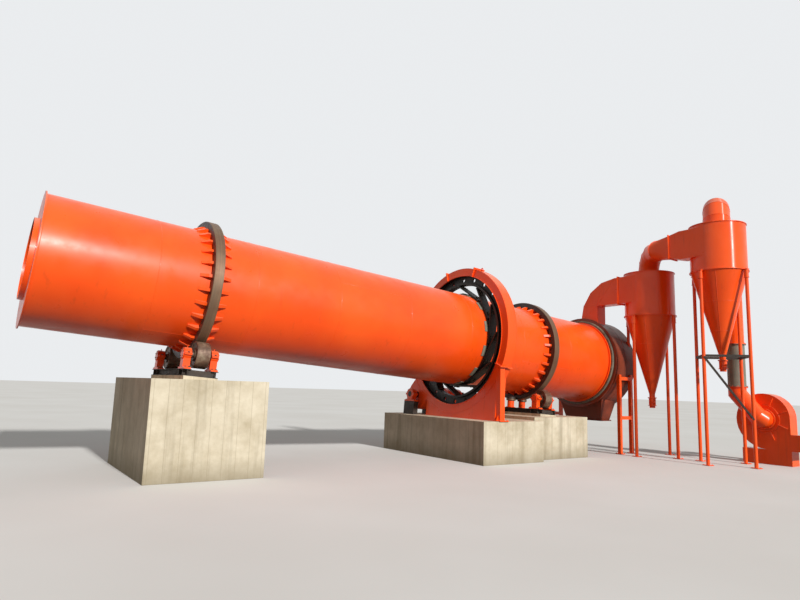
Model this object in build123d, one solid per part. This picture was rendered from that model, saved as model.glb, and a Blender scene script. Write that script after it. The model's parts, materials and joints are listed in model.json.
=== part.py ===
from build123d import *
import os
from math import acos, atan2, cos, degrees, hypot, pi, radians, sin, sqrt, tan

# Rotary drum dryer on concrete piers, with its girth gear drive, discharge hood,
# two cyclones in series and the exhaust fan.
# Millimetres. The origin is on the ground under the feed riding ring, +X runs along
# the drum towards its discharge end and +Z is up. The drum falls towards +X.
# Shapes said to be "on the drum axis" are drawn with the drum lying along X through
# the origin, the feed riding ring centred on it, and are then tilted into place.

# Drum shell
SLOPE = 4.1
AXIS_HEIGHT = 3565
SHELL_RADIUS = 1200
SHELL_WALL = 16
FEED_OVERHANG = 2900
RING_SPACING = 9430
DISCHARGE_OVERHANG = 2730
COURSES = 4
FEED_OPENING_RADIUS = 720
END_PLATE = 20
END_PLATE_LIP = 45
DISCHARGE_COLLAR = 40
COLLAR_HEIGHT = 50
COLLAR_FROM_END = 130

# Lifting flights inside the shell
FLIGHTS = 12
FLIGHT_HEIGHT = 200
FLIGHT_LIP = 90
FLIGHT_PLATE = 10
FLIGHT_END_GAP = 250

# Riding rings and the chairs that carry them
RING_THICKNESS = 152.4
RING_WIDTH = 190
CHAIRS = 30
CHAIR_HEIGHT = 60
CHAIR_ARC = 2.6
CHAIR_LUG_HEIGHT = 28
CHAIR_LUG_LENGTH = 110
CHAIR_TAIL = 90

# Support rollers
ROLLER_ANGLE = 35
ROLLER_RADIUS = 250
ROLLER_WIDTH = 250
ROLLER_CHAMFER = 8
ROLLER_SHAFT_RADIUS = 60
ROLLER_BEARING_OFFSET = 250
ROLLER_BEARING_HEIGHT = 280
ROLLER_BEARING_WIDTH = 130
ROLLER_BEARING_BODY = 118
ROLLER_BEARING_FOOT = 380
BEARING_FOOT_PLATE = 35

# Thrust rollers, one each side of the discharge riding ring
THRUST_RADIUS = 130
THRUST_HEIGHT = 105
THRUST_CHAMFER = 6
THRUST_SHAFT_RADIUS = 45
THRUST_HOUSING_RADIUS = 95
THRUST_TUCK = 70

# Roller base frames
BASE_BEAM = 125
BEAM_FLANGE = 12
BEAM_WEB = 10
BASE_MARGIN = 56
BASE_TIE_WIDTH = 100

# Piers
BEDDING = 25
PIER_LENGTH = 2120
PIER_WIDTH = 3100
DRIVE_PIER_DROP = 2054.5
DRIVE_PIER_AHEAD = 822
DRIVE_PIER_MARGIN = 135

# Girth gear and pinion
GEAR_TO_DISCHARGE_RING = 2290
MODULE = 28
PRESSURE_ANGLE = 20
GEAR_TEETH = 132
PINION_TEETH = 22
GEAR_FACE = 180
PINION_FACE = 200
GEAR_RIM = 75
GEAR_WEB = 50
GEAR_HUB_GAP = 300
GEAR_HUB_RING = 60
GEAR_HOLES = 24
GEAR_HOLE_RADIUS = 55
PINION_ANGLE = 45
MESH_CLEARANCE = 2.0
PINION_SHAFT_RADIUS = 80
SPRING_PLATE_COUNT = 12
SPRING_PLATE = 22
SPRING_PLATE_WIDTH = 240
SHELL_PAD = 30
SHELL_PAD_LENGTH = 600

# Girth gear guard
GUARD_TIP_GAP = 62
GUARD_COVER = 81
GUARD_WIDTH = 293
GUARD_PLATE = 8
GUARD_JOINTS = (73, 107, 203)
GUARD_NEAR_INSET = 286
GUARD_FAR_EDGE = 1050
PINION_POCKET_RADIUS = 400
JOINT_FLANGE = 24
JOINT_FLANGE_PROUD = 45
POST_SIDE = 150
POST_DROP = 744.5
POST_CAP = 300
POST_PLATE = 20

# Drive beside the pinion
PINION_BEARING_OFFSET = 330
PINION_BEARING_HEIGHT = 200
PINION_BEARING_WIDTH = 150
PINION_BEARING_BODY = 150
PINION_BEARING_FOOT = 460
REDUCER_HEIGHT = 350
REDUCER_START = 780
REDUCER_LENGTH = 560
REDUCER_SPREAD = 450
REDUCER_LARGE_BOSS = 290
REDUCER_SMALL_BOSS = 190
COUPLING_RADIUS = 150
COUPLING_LENGTH = 240
MOTOR_GAP = 230
MOTOR_RADIUS = 190
MOTOR_LENGTH = 700
MOTOR_FOOT = 360

# Discharge hood
HOOD_HEIGHT = 180
HOOD_LENGTH = 950
HOOD_PLATE = 8
SEAL_HEIGHT = 110
SEAL_LENGTH = 55
SEAL_CLEARANCE = 9
COLLAR_TO_SEAL = 15
CHUTE_TOP = 900
CHUTE_MOUTH = (420, 1300)
CHUTE_DEPTH = 356
CHUTE_FLANGE = 45
STAND_TUCK = 50
STAND_LEG = 100
STAND_SPREAD = 560

# Cyclones
CYCLONE_PAST_HOOD = 357
CYCLONE_Y = (-2000, -4100)
CYCLONE_RISE = (1404, 2464)
CYCLONE_RADIUS = 705
CYCLONE_WALL = 6
CYCLONE_BARREL = 1280
CYCLONE_CONE = 2300
CONE_TIP_RADIUS = 80
SPOUT_LENGTH = 400
ROOF_LIP = 14
ROOF_PLATE = 10
RIM_FLANGE_WIDTH = 30
RIM_FLANGE = 24
INLET_WIDTH = 400
INLET_HEIGHT = 800
INLET_BELOW_ROOF = 95
DUCT_WALL = 5

# Exhaust duct from the hood to the first cyclone
RISER_NEAR = -650
RISER_FAR = -40
RISER_TUCK = 83
DUCT_BEND = 1250

# Duct from the first cyclone's roof to the second cyclone's inlet
OUTLET_RADIUS = 290
OUTLET_BEND = 560
TRANSITION_LENGTH = 430
CROSSOVER_RUN = 320
CROSSOVER_HEIGHT = 640
GORES = 4

# Return bend on the second cyclone and the pipe down to the fan
RETURN_RADIUS = 340
RETURN_STUB = 60
RETURN_BEARING = 26.5
DOWNCOMER_BEARING = 9
REDUCING_LENGTH = 900
DOWNCOMER_RADIUS = 230
BARE_SECTION_TOP = 3240
BARE_SECTION_BOTTOM = 2050

# Cyclone legs
LEG_RADIUS = 45
LEG_CIRCLE = 775
LEG_BEARING = (3, 8)
LEG_FOOT = 200
LEG_FOOT_PLATE = 16
LEG_BRACKET = 110
BRACE_DROP = 2310
BRACE_SIZE = 60

# Exhaust fan
FAN_PAST_CYCLONES = 1520
FAN_Y = -4500
FAN_HEIGHT = 1200
FAN_RADIUS = 620
FAN_SPREAD = 190
FAN_WIDTH = 420
FAN_PLATE = 10
FAN_OUTLET_REACH = 1050
FAN_OUTLET_HEIGHT = 430
FAN_STAND_HEIGHT = 330
FAN_MOTOR_RADIUS = 180
FAN_MOTOR_LENGTH = 560
FAN_SHAFT_RADIUS = 40

# Clearances
SEAT = 0.3
RUNNING_GAP = 0.3
SHAFT_GAP = 0.3
END_GAP = 5
RETURN_GAP = 21

parts = {}

shell_end = RING_SPACING + DISCHARGE_OVERHANG
shell_inside = SHELL_RADIUS - SHELL_WALL
ring_seat = SHELL_RADIUS + CHAIR_HEIGHT + 2 * SEAT
ring_radius = ring_seat + RING_THICKNESS
seal_radius = SHELL_RADIUS + SEAL_HEIGHT
hood_radius = SHELL_RADIUS + HOOD_HEIGHT
gear_hub_radius = SHELL_RADIUS + GEAR_HUB_GAP
roller_centres = ring_radius + ROLLER_RADIUS + RUNNING_GAP
roller_drop = roller_centres * cos(radians(ROLLER_ANGLE))
roller_side = roller_centres * sin(radians(ROLLER_ANGLE))
base_half_length = roller_side + ROLLER_BEARING_FOOT / 2 + BASE_MARGIN
base_top = -roller_drop - ROLLER_BEARING_HEIGHT
base_bottom = base_top - BASE_BEAM
gear_station = RING_SPACING - GEAR_TO_DISCHARGE_RING
gear_pitch_radius = MODULE * GEAR_TEETH / 2
gear_root_radius = gear_pitch_radius - 1.25 * MODULE
pinion_pitch_radius = MODULE * PINION_TEETH / 2
gear_centres = gear_pitch_radius + pinion_pitch_radius
pinion_y = gear_centres * sin(radians(PINION_ANGLE))
pinion_z = -gear_centres * cos(radians(PINION_ANGLE))
guard_radius = gear_pitch_radius + MODULE + GUARD_TIP_GAP + GUARD_PLATE
guard_opening = gear_root_radius - GUARD_COVER
guard_near_edge = guard_radius - GUARD_NEAR_INSET
hood_start = shell_end - COLLAR_FROM_END + COLLAR_TO_SEAL + SEAL_LENGTH
return_bend_radius = (CYCLONE_RADIUS + ROOF_LIP + RETURN_RADIUS + RETURN_GAP) / 2


def on_drum_axis(shape):
    """Tilt a shape drawn on the drum axis into its place."""
    return Location((0, 0, AXIS_HEIGHT), (0, SLOPE, 0)) * shape


def world_point(along, across, up):
    """Where a point drawn on the drum axis comes to lie."""
    tilt = radians(SLOPE)
    x = along * cos(tilt) + up * sin(tilt)
    z = AXIS_HEIGHT - along * sin(tilt) + up * cos(tilt)
    return x, across, z


gear_x, _, gear_height = world_point(gear_station, 0, 0)
hood_x, _, hood_height = world_point(hood_start + HOOD_LENGTH / 2, 0, 0)
drive_pier_top = gear_height - DRIVE_PIER_DROP
post_top = gear_height - POST_DROP
chute_bottom = hood_height - hood_radius - CHUTE_DEPTH
riser_foot = hood_height + sqrt(hood_radius ** 2 - RISER_NEAR ** 2) - RISER_TUCK
cyclone_x = hood_x + CYCLONE_PAST_HOOD
cyclone_rim = tuple(hood_height + rise for rise in CYCLONE_RISE)
fan_x = cyclone_x + FAN_PAST_CYCLONES


def rod_along_x(radius, start, length, y=0, z=0, bore=0):
    """A rod or tube parallel to X."""
    profile = Circle(radius)
    if bore:
        profile -= Circle(bore)
    return extrude(Plane.YZ.offset(start) * Pos(y, z) * profile, length)


def rod_along_z(radius, bottom, height, x=0, y=0, bore=0):
    """A rod or tube parallel to Z."""
    profile = Circle(radius)
    if bore:
        profile -= Circle(bore)
    return extrude(Pos(x, y, bottom) * profile, height)


def block(x, y, z):
    """A box between pairs of lowest and highest coordinates."""
    size = Box(x[1] - x[0], y[1] - y[0], z[1] - z[0])
    return Pos((x[0] + x[1]) / 2, (y[0] + y[1]) / 2, (z[0] + z[1]) / 2) * size


def face_of(points):
    """A flat face from the corners of its outline."""
    return make_face(Polyline(*points, close=True))


def spread_round_x(shape, count, first=0):
    """Copies of a shape spread evenly about the X axis."""
    return [Rot(first + 360 * turn / count, 0, 0) * shape for turn in range(count)]


def place(name, *shapes):
    """Keep a node's finished shapes under its name."""
    parts[name] = shapes[0] if len(shapes) == 1 else Compound(children=list(shapes))


def shell_course(index):
    """One rolled course of the drum shell."""
    length = (FEED_OVERHANG + shell_end) / COURSES
    start = -FEED_OVERHANG + index * length
    return rod_along_x(SHELL_RADIUS, start, length, bore=shell_inside)


def lifting_flight():
    """One L-shaped flight along the inside of the shell."""
    root = shell_inside - SEAT - FLIGHT_PLATE * FLIGHT_PLATE / shell_inside
    tip = root - FLIGHT_HEIGHT
    profile = face_of([
        (0, root),
        (FLIGHT_PLATE, root),
        (FLIGHT_PLATE, tip + FLIGHT_PLATE),
        (FLIGHT_LIP, tip + FLIGHT_PLATE),
        (FLIGHT_LIP, tip),
        (0, tip),
    ])
    start = -FEED_OVERHANG + FLIGHT_END_GAP
    return extrude(Plane.YZ.offset(start) * profile, shell_end - FLIGHT_END_GAP - start)


def ring_chair():
    """A chair under a riding ring, with a sloping lug at each side of the ring."""
    seat = SHELL_RADIUS + SEAT
    top = seat + CHAIR_HEIGHT
    lug = RING_WIDTH / 2 + SEAT
    side = [
        (lug, top),
        (lug, top + CHAIR_LUG_HEIGHT),
        (lug + CHAIR_LUG_LENGTH / 2, top + CHAIR_LUG_HEIGHT),
        (lug + CHAIR_LUG_LENGTH, top),
        (lug + CHAIR_LUG_LENGTH + CHAIR_TAIL, seat + CHAIR_HEIGHT / 3),
        (lug + CHAIR_LUG_LENGTH + CHAIR_TAIL, seat),
    ]
    outline = side + [(-x, z) for x, z in reversed(side)]
    return revolve(Plane.XZ * face_of(outline), axis=Axis.X, revolution_arc=CHAIR_ARC)


def involute(angle):
    """The involute function of a pressure angle."""
    return tan(angle) - angle


def gear_outline(teeth, clearance, first_angle):
    """A spur gear's outline with involute flanks, each drawn through three points."""
    pitch = MODULE * teeth / 2
    base = pitch * cos(radians(PRESSURE_ANGLE))
    half_pitch = pi / (2 * teeth) + involute(radians(PRESSURE_ANGLE)) - clearance / (2 * pitch)
    flank = []
    for radius in (pitch - 1.25 * MODULE, pitch, pitch + MODULE):
        flank.append((radius, half_pitch - involute(acos(min(base / radius, 1)))))
    points = []
    for tooth in range(teeth):
        middle = first_angle + 2 * pi * tooth / teeth
        for radius, half in flank:
            points.append((radius * cos(middle - half), radius * sin(middle - half)))
        for radius, half in reversed(flank):
            points.append((radius * cos(middle + half), radius * sin(middle + half)))
    return face_of(points)


def girth_gear():
    """The toothed rim, its holed web and its inner ring."""
    mesh_angle = atan2(pinion_z, pinion_y)
    root = gear_root_radius
    start = gear_station - GEAR_FACE / 2
    toothed = Plane.YZ.offset(start) * (gear_outline(GEAR_TEETH, MESH_CLEARANCE, mesh_angle)
                                        - Circle(root - GEAR_RIM))
    web_start = gear_station - GEAR_WEB / 2
    hub_outer = gear_hub_radius + GEAR_HUB_RING
    hole_circle = (hub_outer + root - GEAR_RIM) / 2
    web = Circle(root - GEAR_RIM + 1) - Circle(hub_outer - 1)
    web -= PolarLocations(hole_circle, GEAR_HOLES) * Circle(GEAR_HOLE_RADIUS)
    hub = rod_along_x(hub_outer, start, GEAR_FACE, bore=gear_hub_radius)
    return extrude(toothed, GEAR_FACE) + extrude(Plane.YZ.offset(web_start) * web, GEAR_WEB) + hub


def spring_plate():
    """A tangential plate from a pad on the shell to the gear's inner ring."""
    pad_top = SHELL_RADIUS + SEAT + SHELL_PAD
    reach = sqrt(gear_hub_radius ** 2 - (pad_top + SPRING_PLATE) ** 2)
    start = gear_station - SPRING_PLATE_WIDTH / 2
    pad_arc = degrees(SHELL_PAD_LENGTH / SHELL_RADIUS)
    plate = face_of([
        (-SHELL_PAD_LENGTH / 4, pad_top - SHELL_PAD / 2),
        (reach + SPRING_PLATE, pad_top - SHELL_PAD / 2),
        (reach + SPRING_PLATE, pad_top + SPRING_PLATE),
        (-SHELL_PAD_LENGTH / 4, pad_top + SPRING_PLATE),
    ])
    plate &= Circle(gear_hub_radius - SEAT)
    plate -= Circle(SHELL_RADIUS + SEAT + SHELL_PAD / 2)
    pad_half = radians(pad_arc / 2)
    pad = Circle(pad_top) - Circle(SHELL_RADIUS + SEAT)
    wedge = face_of([
        (0, 0),
        (-2 * pad_top * sin(pad_half), 2 * pad_top * cos(pad_half)),
        (2 * pad_top * sin(pad_half), 2 * pad_top * cos(pad_half)),
    ])
    return extrude(Plane.YZ.offset(start) * (plate + (pad & wedge)), SPRING_PLATE_WIDTH)


def support_roller(side):
    """A support roller on its through shaft."""
    roller = rod_along_x(ROLLER_RADIUS, -ROLLER_WIDTH / 2, ROLLER_WIDTH)
    roller = chamfer(roller.edges().filter_by(GeomType.CIRCLE), ROLLER_CHAMFER)
    shaft_end = ROLLER_BEARING_OFFSET + ROLLER_BEARING_WIDTH / 2
    shaft = rod_along_x(ROLLER_SHAFT_RADIUS, -shaft_end, 2 * shaft_end)
    return Pos(0, side * roller_side, -roller_drop) * (roller + shaft)


def pillow_block(body, shaft, height, foot, width):
    """A split bearing housing across X, its shaft centre at the origin."""
    profile = Circle(body)
    profile += Pos(0, -height / 2) * Rectangle(1.5 * body, height)
    profile += Pos(0, -height + BEARING_FOOT_PLATE / 2) * Rectangle(foot, BEARING_FOOT_PLATE)
    profile += Rectangle(2.5 * body, 0.35 * body)
    profile -= Circle(shaft + SHAFT_GAP)
    return extrude(Plane.YZ.offset(-width / 2) * profile, width)


def roller_bearings(station):
    """The four bearing housings of one pair of support rollers."""
    housing = pillow_block(ROLLER_BEARING_BODY, ROLLER_SHAFT_RADIUS, ROLLER_BEARING_HEIGHT,
                           ROLLER_BEARING_FOOT, ROLLER_BEARING_WIDTH)
    return [
        on_drum_axis(Pos(station + end * ROLLER_BEARING_OFFSET, side * roller_side, -roller_drop) * housing)
        for side in (-1, 1)
        for end in (-1, 1)
    ]


def beam_along_y(length):
    """A rolled I-beam along Y, its top at z = 0."""
    profile = Rectangle(ROLLER_BEARING_WIDTH, BASE_BEAM)
    pocket = Rectangle((ROLLER_BEARING_WIDTH - BEAM_WEB) / 2, BASE_BEAM - 2 * BEAM_FLANGE)
    shift = (ROLLER_BEARING_WIDTH + BEAM_WEB) / 4
    profile -= Pos(shift, 0) * pocket
    profile -= Pos(-shift, 0) * pocket
    beam = extrude(Plane.XZ.offset(-length / 2) * profile, length)
    return Pos(0, 0, -BASE_BEAM / 2) * beam


def roller_base(station):
    """The welded frame under one pair of support rollers."""
    frame = None
    for end in (-1, 1):
        beam = Pos(end * ROLLER_BEARING_OFFSET, 0, 0) * beam_along_y(2 * base_half_length)
        frame = beam if frame is None else frame + beam
    tie_end = base_half_length - BASE_TIE_WIDTH
    for middle in (-tie_end, -tie_end / 3, tie_end / 3, tie_end):
        sides = (middle - BASE_TIE_WIDTH / 2, middle + BASE_TIE_WIDTH / 2)
        frame += block((-ROLLER_BEARING_OFFSET, ROLLER_BEARING_OFFSET), sides, (-BASE_BEAM, -BEAM_FLANGE))
    return on_drum_axis(Pos(station, 0, base_top) * frame)


def pier_top(station):
    """Height of the flat pier top under a roller base."""
    half = ROLLER_BEARING_OFFSET + ROLLER_BEARING_WIDTH / 2
    return world_point(station + half, 0, base_bottom)[2] - BEDDING


def bedded_pier(station):
    """A pier with the sloping bed of mortar that carries a tilted roller base."""
    half = ROLLER_BEARING_OFFSET + ROLLER_BEARING_WIDTH / 2
    middle = station * cos(radians(SLOPE))
    top = pier_top(station)
    low = world_point(station + half, 0, base_bottom)
    high = world_point(station - half, 0, base_bottom)
    bed = extrude(Plane.XZ.offset(-base_half_length) * face_of([
        (high[0], top - BEDDING),
        (low[0], top - BEDDING),
        (low[0], low[2]),
        (high[0], high[2]),
    ]), 2 * base_half_length)
    sides = (-PIER_WIDTH / 2, PIER_WIDTH / 2)
    return block((middle - PIER_LENGTH / 2, middle + PIER_LENGTH / 2), sides, (0, top)) + bed


def guard_outline(inset):
    """Outline of the gear guard: its ring, the pedestal and the pinion pocket."""
    ring = Circle(guard_radius - inset)
    low = -2 * guard_radius
    pedestal = face_of([
        (-guard_near_edge + inset, -guard_radius / 2),
        (-guard_near_edge + inset, low),
        (GUARD_FAR_EDGE - inset, low),
        (GUARD_FAR_EDGE - inset, -guard_radius / 2),
    ])
    radius = PINION_POCKET_RADIUS - inset
    arm = Rot(0, 0, -90 - PINION_ANGLE + 2 * PINION_ANGLE)
    arm = arm * Pos(gear_centres / 2, 0) * Rectangle(gear_centres, 2 * radius)
    return ring + pedestal + arm + Pos(pinion_y, pinion_z) * Circle(radius)


def guard_body():
    """The whole guard as a plate box, open round the drum."""
    start = gear_station - GUARD_WIDTH / 2
    plane = Plane.YZ.offset(start)
    inner = Plane.YZ.offset(start + GUARD_PLATE)
    body = extrude(plane * guard_outline(0), GUARD_WIDTH)
    body -= extrude(inner * guard_outline(GUARD_PLATE), GUARD_WIDTH - 2 * GUARD_PLATE)
    body -= rod_along_x(guard_opening, start, GUARD_WIDTH)
    return body - rod_along_x(PINION_SHAFT_RADIUS + END_GAP, start, GUARD_WIDTH, pinion_y, pinion_z)


def sector(first, last):
    """A thick wedge about the drum axis between two angles from +Y."""
    reach = 4 * guard_radius
    middle = (first + last) / 2
    corners = [(0, 0)]
    for angle in (first, (first + middle) / 2, middle, (middle + last) / 2, last):
        corners.append((reach * cos(radians(angle)), reach * sin(radians(angle))))
    start = gear_station - GUARD_WIDTH
    return extrude(Plane.YZ.offset(start) * face_of(corners), 2 * GUARD_WIDTH)


def joint_flange(angle):
    """A bolted joint between two guard segments, standing proud on three sides."""
    half = GUARD_WIDTH / 2 + JOINT_FLANGE_PROUD
    outer = guard_radius + JOINT_FLANGE_PROUD
    flange = block((-half, half), (guard_opening, outer), (-JOINT_FLANGE / 2, JOINT_FLANGE / 2))
    inside = GUARD_WIDTH / 2 - GUARD_PLATE
    flange -= block((-inside, inside), (0, guard_radius - GUARD_PLATE), (-JOINT_FLANGE, JOINT_FLANGE))
    return Pos(gear_station, 0, 0) * Rot(angle, 0, 0) * flange


def above(shape, height):
    """What is left of a shape above a height."""
    return split(shape, bisect_by=Plane.XY.offset(height), keep=Keep.TOP)


def guard_seat():
    """The guard's ring and its near joint flange, as the post is cut to fit them."""
    start = gear_station - GUARD_WIDTH
    return rod_along_x(guard_radius + SEAT, start, 2 * GUARD_WIDTH) + joint_flange(GUARD_JOINTS[2])


def guard_post():
    """The post under the near flank of the guard."""
    x, y, _ = world_point(gear_station, 0, drive_pier_top - AXIS_HEIGHT)
    y = -guard_near_edge - SEAT - POST_SIDE / 2
    half = POST_SIDE / 2
    web = block((x - half, x + half), (y - half, y + half), (drive_pier_top, post_top - POST_PLATE))
    wide = POST_CAP / 2
    cap = block((x - wide, x + wide), (y - wide, y + half), (post_top - POST_PLATE, post_top))
    foot = block((x - wide, x + wide), (y - wide, y + half), (drive_pier_top, drive_pier_top + POST_PLATE))
    gusset = extrude(Plane.XZ.offset(-y - POST_PLATE / 2) * face_of([
        (x - wide, drive_pier_top),
        (x + wide, drive_pier_top),
        (x + half, drive_pier_top + POST_CAP / 2),
        (x - half, drive_pier_top + POST_CAP / 2),
    ]), POST_PLATE)
    return web + cap + foot + gusset - on_drum_axis(guard_seat())


def pinion():
    """The pinion on its shaft, with the coupling to the reducer."""
    rest = atan2(-pinion_z, -pinion_y) + pi / PINION_TEETH
    face = Plane.YZ.offset(-PINION_FACE / 2) * gear_outline(PINION_TEETH, MESH_CLEARANCE, rest)
    gear = extrude(face, PINION_FACE)
    back = -PINION_BEARING_OFFSET - PINION_BEARING_WIDTH / 2
    shaft = rod_along_x(PINION_SHAFT_RADIUS, back, REDUCER_START - END_GAP - back)
    coupling_start = REDUCER_START - END_GAP - COUPLING_LENGTH
    coupling = rod_along_x(COUPLING_RADIUS, coupling_start, COUPLING_LENGTH)
    return Pos(gear_station, pinion_y, pinion_z) * (gear + shaft + coupling)


def pinion_bearings():
    """The housings on each side of the pinion."""
    housing = pillow_block(PINION_BEARING_BODY, PINION_SHAFT_RADIUS, PINION_BEARING_HEIGHT,
                           PINION_BEARING_FOOT, PINION_BEARING_WIDTH)
    return [
        on_drum_axis(Pos(gear_station + end * PINION_BEARING_OFFSET, pinion_y, pinion_z) * housing)
        for end in (-1, 1)
    ]


def drive_base():
    """The stools under the pinion bearings and the bed under reducer and motor."""
    stool_top = pinion_z - PINION_BEARING_HEIGHT
    bed_top = pinion_z - REDUCER_HEIGHT
    half_foot = PINION_BEARING_FOOT / 2
    half_width = PINION_BEARING_WIDTH / 2
    low = bed_top - guard_radius
    solids = []
    for end in (-1, 1):
        middle = gear_station + end * PINION_BEARING_OFFSET
        length = (middle - half_width, middle + half_width)
        solids.append(block(length, (pinion_y - half_foot, pinion_y + half_foot), (low, stool_top)))
    bed_start = gear_station + REDUCER_START
    bed_middle = bed_start + REDUCER_LENGTH
    bed_end = bed_middle + MOTOR_GAP + MOTOR_LENGTH
    motor_y = pinion_y + REDUCER_SPREAD
    far = motor_y + REDUCER_SMALL_BOSS
    bed = block((bed_start, bed_middle), (pinion_y - REDUCER_LARGE_BOSS, far), (low, bed_top))
    bed += block((bed_middle, bed_end), (motor_y - MOTOR_FOOT / 2, far), (low, bed_top))
    solids.append(bed)
    return [above(on_drum_axis(solid), drive_pier_top) for solid in solids]


def reducer():
    """The parallel-shaft reducer housing."""
    start = gear_station + REDUCER_START
    low = -REDUCER_HEIGHT
    profile = Circle(REDUCER_LARGE_BOSS) + Pos(REDUCER_SPREAD, 0) * Circle(REDUCER_SMALL_BOSS)
    profile += face_of([
        (-0.85 * REDUCER_LARGE_BOSS, low),
        (REDUCER_SPREAD + REDUCER_SMALL_BOSS, low),
        (REDUCER_SPREAD + REDUCER_SMALL_BOSS, 0.6 * REDUCER_SMALL_BOSS),
        (REDUCER_SPREAD, REDUCER_SMALL_BOSS),
        (0, REDUCER_LARGE_BOSS),
        (-0.85 * REDUCER_LARGE_BOSS, 0.5 * REDUCER_LARGE_BOSS),
    ])
    body = extrude(Plane.YZ.offset(start) * Pos(pinion_y, pinion_z) * profile, REDUCER_LENGTH)
    split_line = block(
        (start, start + REDUCER_LENGTH + POST_PLATE / 2),
        (pinion_y - REDUCER_LARGE_BOSS, pinion_y + REDUCER_SPREAD + REDUCER_SMALL_BOSS),
        (pinion_z - POST_PLATE, pinion_z + POST_PLATE),
    )
    bore = rod_along_x(PINION_SHAFT_RADIUS + END_GAP, start - 2 * POST_PLATE, 3 * POST_PLATE, pinion_y, pinion_z)
    return on_drum_axis(body + split_line - bore)


def motor(radius, length, foot, height):
    """A foot-mounted motor along X from x = 0, its shaft centre at the origin."""
    body = rod_along_x(radius, 0, length)
    body += rod_along_x(0.92 * radius, length - SEAT, 0.16 * length)
    base = block((0.12 * length, 0.8 * length), (-foot / 2, foot / 2), (-height, -height + 0.12 * radius))
    neck = block((0.16 * length, 0.76 * length), (-0.6 * radius, 0.6 * radius), (-height, 0))
    box = block((0.3 * length, 0.62 * length), (-0.35 * radius, 0.35 * radius), (0.8 * radius, 1.25 * radius))
    return body + base + neck + box


def drive_motor():
    """The drive motor and the cover over its coupling."""
    start = gear_station + REDUCER_START + REDUCER_LENGTH + MOTOR_GAP
    y = pinion_y + REDUCER_SPREAD
    body = motor(MOTOR_RADIUS, 0.86 * MOTOR_LENGTH, MOTOR_FOOT, REDUCER_HEIGHT)
    cover = rod_along_x(0.45 * MOTOR_RADIUS, -MOTOR_GAP + POST_PLATE, MOTOR_GAP - POST_PLATE + SEAT)
    cover_leg = block((-MOTOR_GAP + 2 * POST_PLATE, -2 * POST_PLATE),
                      (-0.45 * MOTOR_RADIUS, 0.45 * MOTOR_RADIUS), (-REDUCER_HEIGHT, 0))
    return on_drum_axis(Pos(start, y, pinion_z) * (body + cover + cover_leg))


def hood_point(along, up):
    """World X and Z of a point on the hood's middle plane."""
    x, _, z = world_point(hood_start + along, 0, up)
    return x, z


def tapered_box(top_size, top, bottom_size, bottom):
    """A four-sided hopper between two rectangles at two heights."""
    sides = []
    for wide, narrow in zip(top_size, bottom_size):
        sides.append([(-narrow / 2, bottom), (narrow / 2, bottom), (wide / 2, top), (-wide / 2, top)])
    reach = max(top_size)
    across = extrude(Plane.XZ.offset(-reach) * face_of(sides[0]), 2 * reach)
    along = extrude(Plane.YZ.offset(-reach) * face_of(sides[1]), 2 * reach)
    return across & along


def hood_drum():
    """The solid outside of the round hood, on the drum axis."""
    return rod_along_x(hood_radius, hood_start, HOOD_LENGTH)


def hood_chute(inset, extra):
    """The hopper under the hood, as a solid in place."""
    middle = hood_point(HOOD_LENGTH / 2, 0)
    top = middle[1] - hood_radius / 2
    length = HOOD_LENGTH - 2 * HOOD_PLATE
    hopper = tapered_box((length - 2 * inset, 2 * CHUTE_TOP - 2 * inset), top,
                         [side - 2 * inset for side in CHUTE_MOUTH], chute_bottom)
    if extra:
        across, along = [side / 2 - inset for side in CHUTE_MOUTH]
        hopper += block((-across, across), (-along, along), (chute_bottom - extra, chute_bottom + extra))
    return Pos(hood_chute_x(), 0, 0) * hopper


def hood_chute_x():
    """World X of the chute's centre line."""
    return hood_point(HOOD_LENGTH / 2, -hood_radius / 2)[0]


def duct_outline(inset, run_on):
    """Side outline of the exhaust duct in Y and Z: a riser, gores and the inlet run."""
    inlet_top = inlet_levels(0)[1] - inset
    inlet_bottom = inlet_levels(0)[0] + inset
    end = CYCLONE_Y[0] - run_on
    far = RISER_FAR - inset
    near = RISER_NEAR + inset
    outer = DUCT_BEND - inset
    centre = (far - outer, inlet_top - outer)
    points = [(near, riser_foot - run_on), (far, riser_foot - run_on)]
    for gore in range(GORES + 1):
        turn = radians(90 * gore / GORES)
        points.append((centre[0] + outer * cos(turn), centre[1] + outer * sin(turn)))
    points += [(end, inlet_top), (end, inlet_bottom), (near, inlet_bottom)]
    return face_of(points)


def inlet_levels(cyclone):
    """Bottom and top of a cyclone's inlet."""
    top = cyclone_rim[cyclone] + CYCLONE_BARREL - INLET_BELOW_ROOF
    return top - INLET_HEIGHT, top


def inlet_sides(inset):
    """X range of both inlets, tangent to the cyclone barrels."""
    start = cyclone_x - CYCLONE_RADIUS
    return start + inset, start + INLET_WIDTH - inset


def exhaust_duct_solid(inset, run_on):
    """The exhaust duct as a solid, or the space inside it."""
    x0, x1 = inlet_sides(inset)
    return extrude(Plane.YZ.offset(x0) * duct_outline(inset, run_on), x1 - x0)


def barrel_solid(cyclone, grow=0):
    """The outside of a cyclone's barrel."""
    bottom = cyclone_rim[cyclone]
    return rod_along_z(CYCLONE_RADIUS + grow, bottom, CYCLONE_BARREL, cyclone_x, CYCLONE_Y[cyclone])


def crossover_start():
    """Where the duct between the cyclones becomes rectangular, and its heading."""
    middle = cyclone_x - CYCLONE_RADIUS + INLET_WIDTH / 2
    y = CYCLONE_Y[1] + CYCLONE_RADIUS + CROSSOVER_RUN
    height = sum(inlet_levels(1)) / 2
    return middle, y, height


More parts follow.
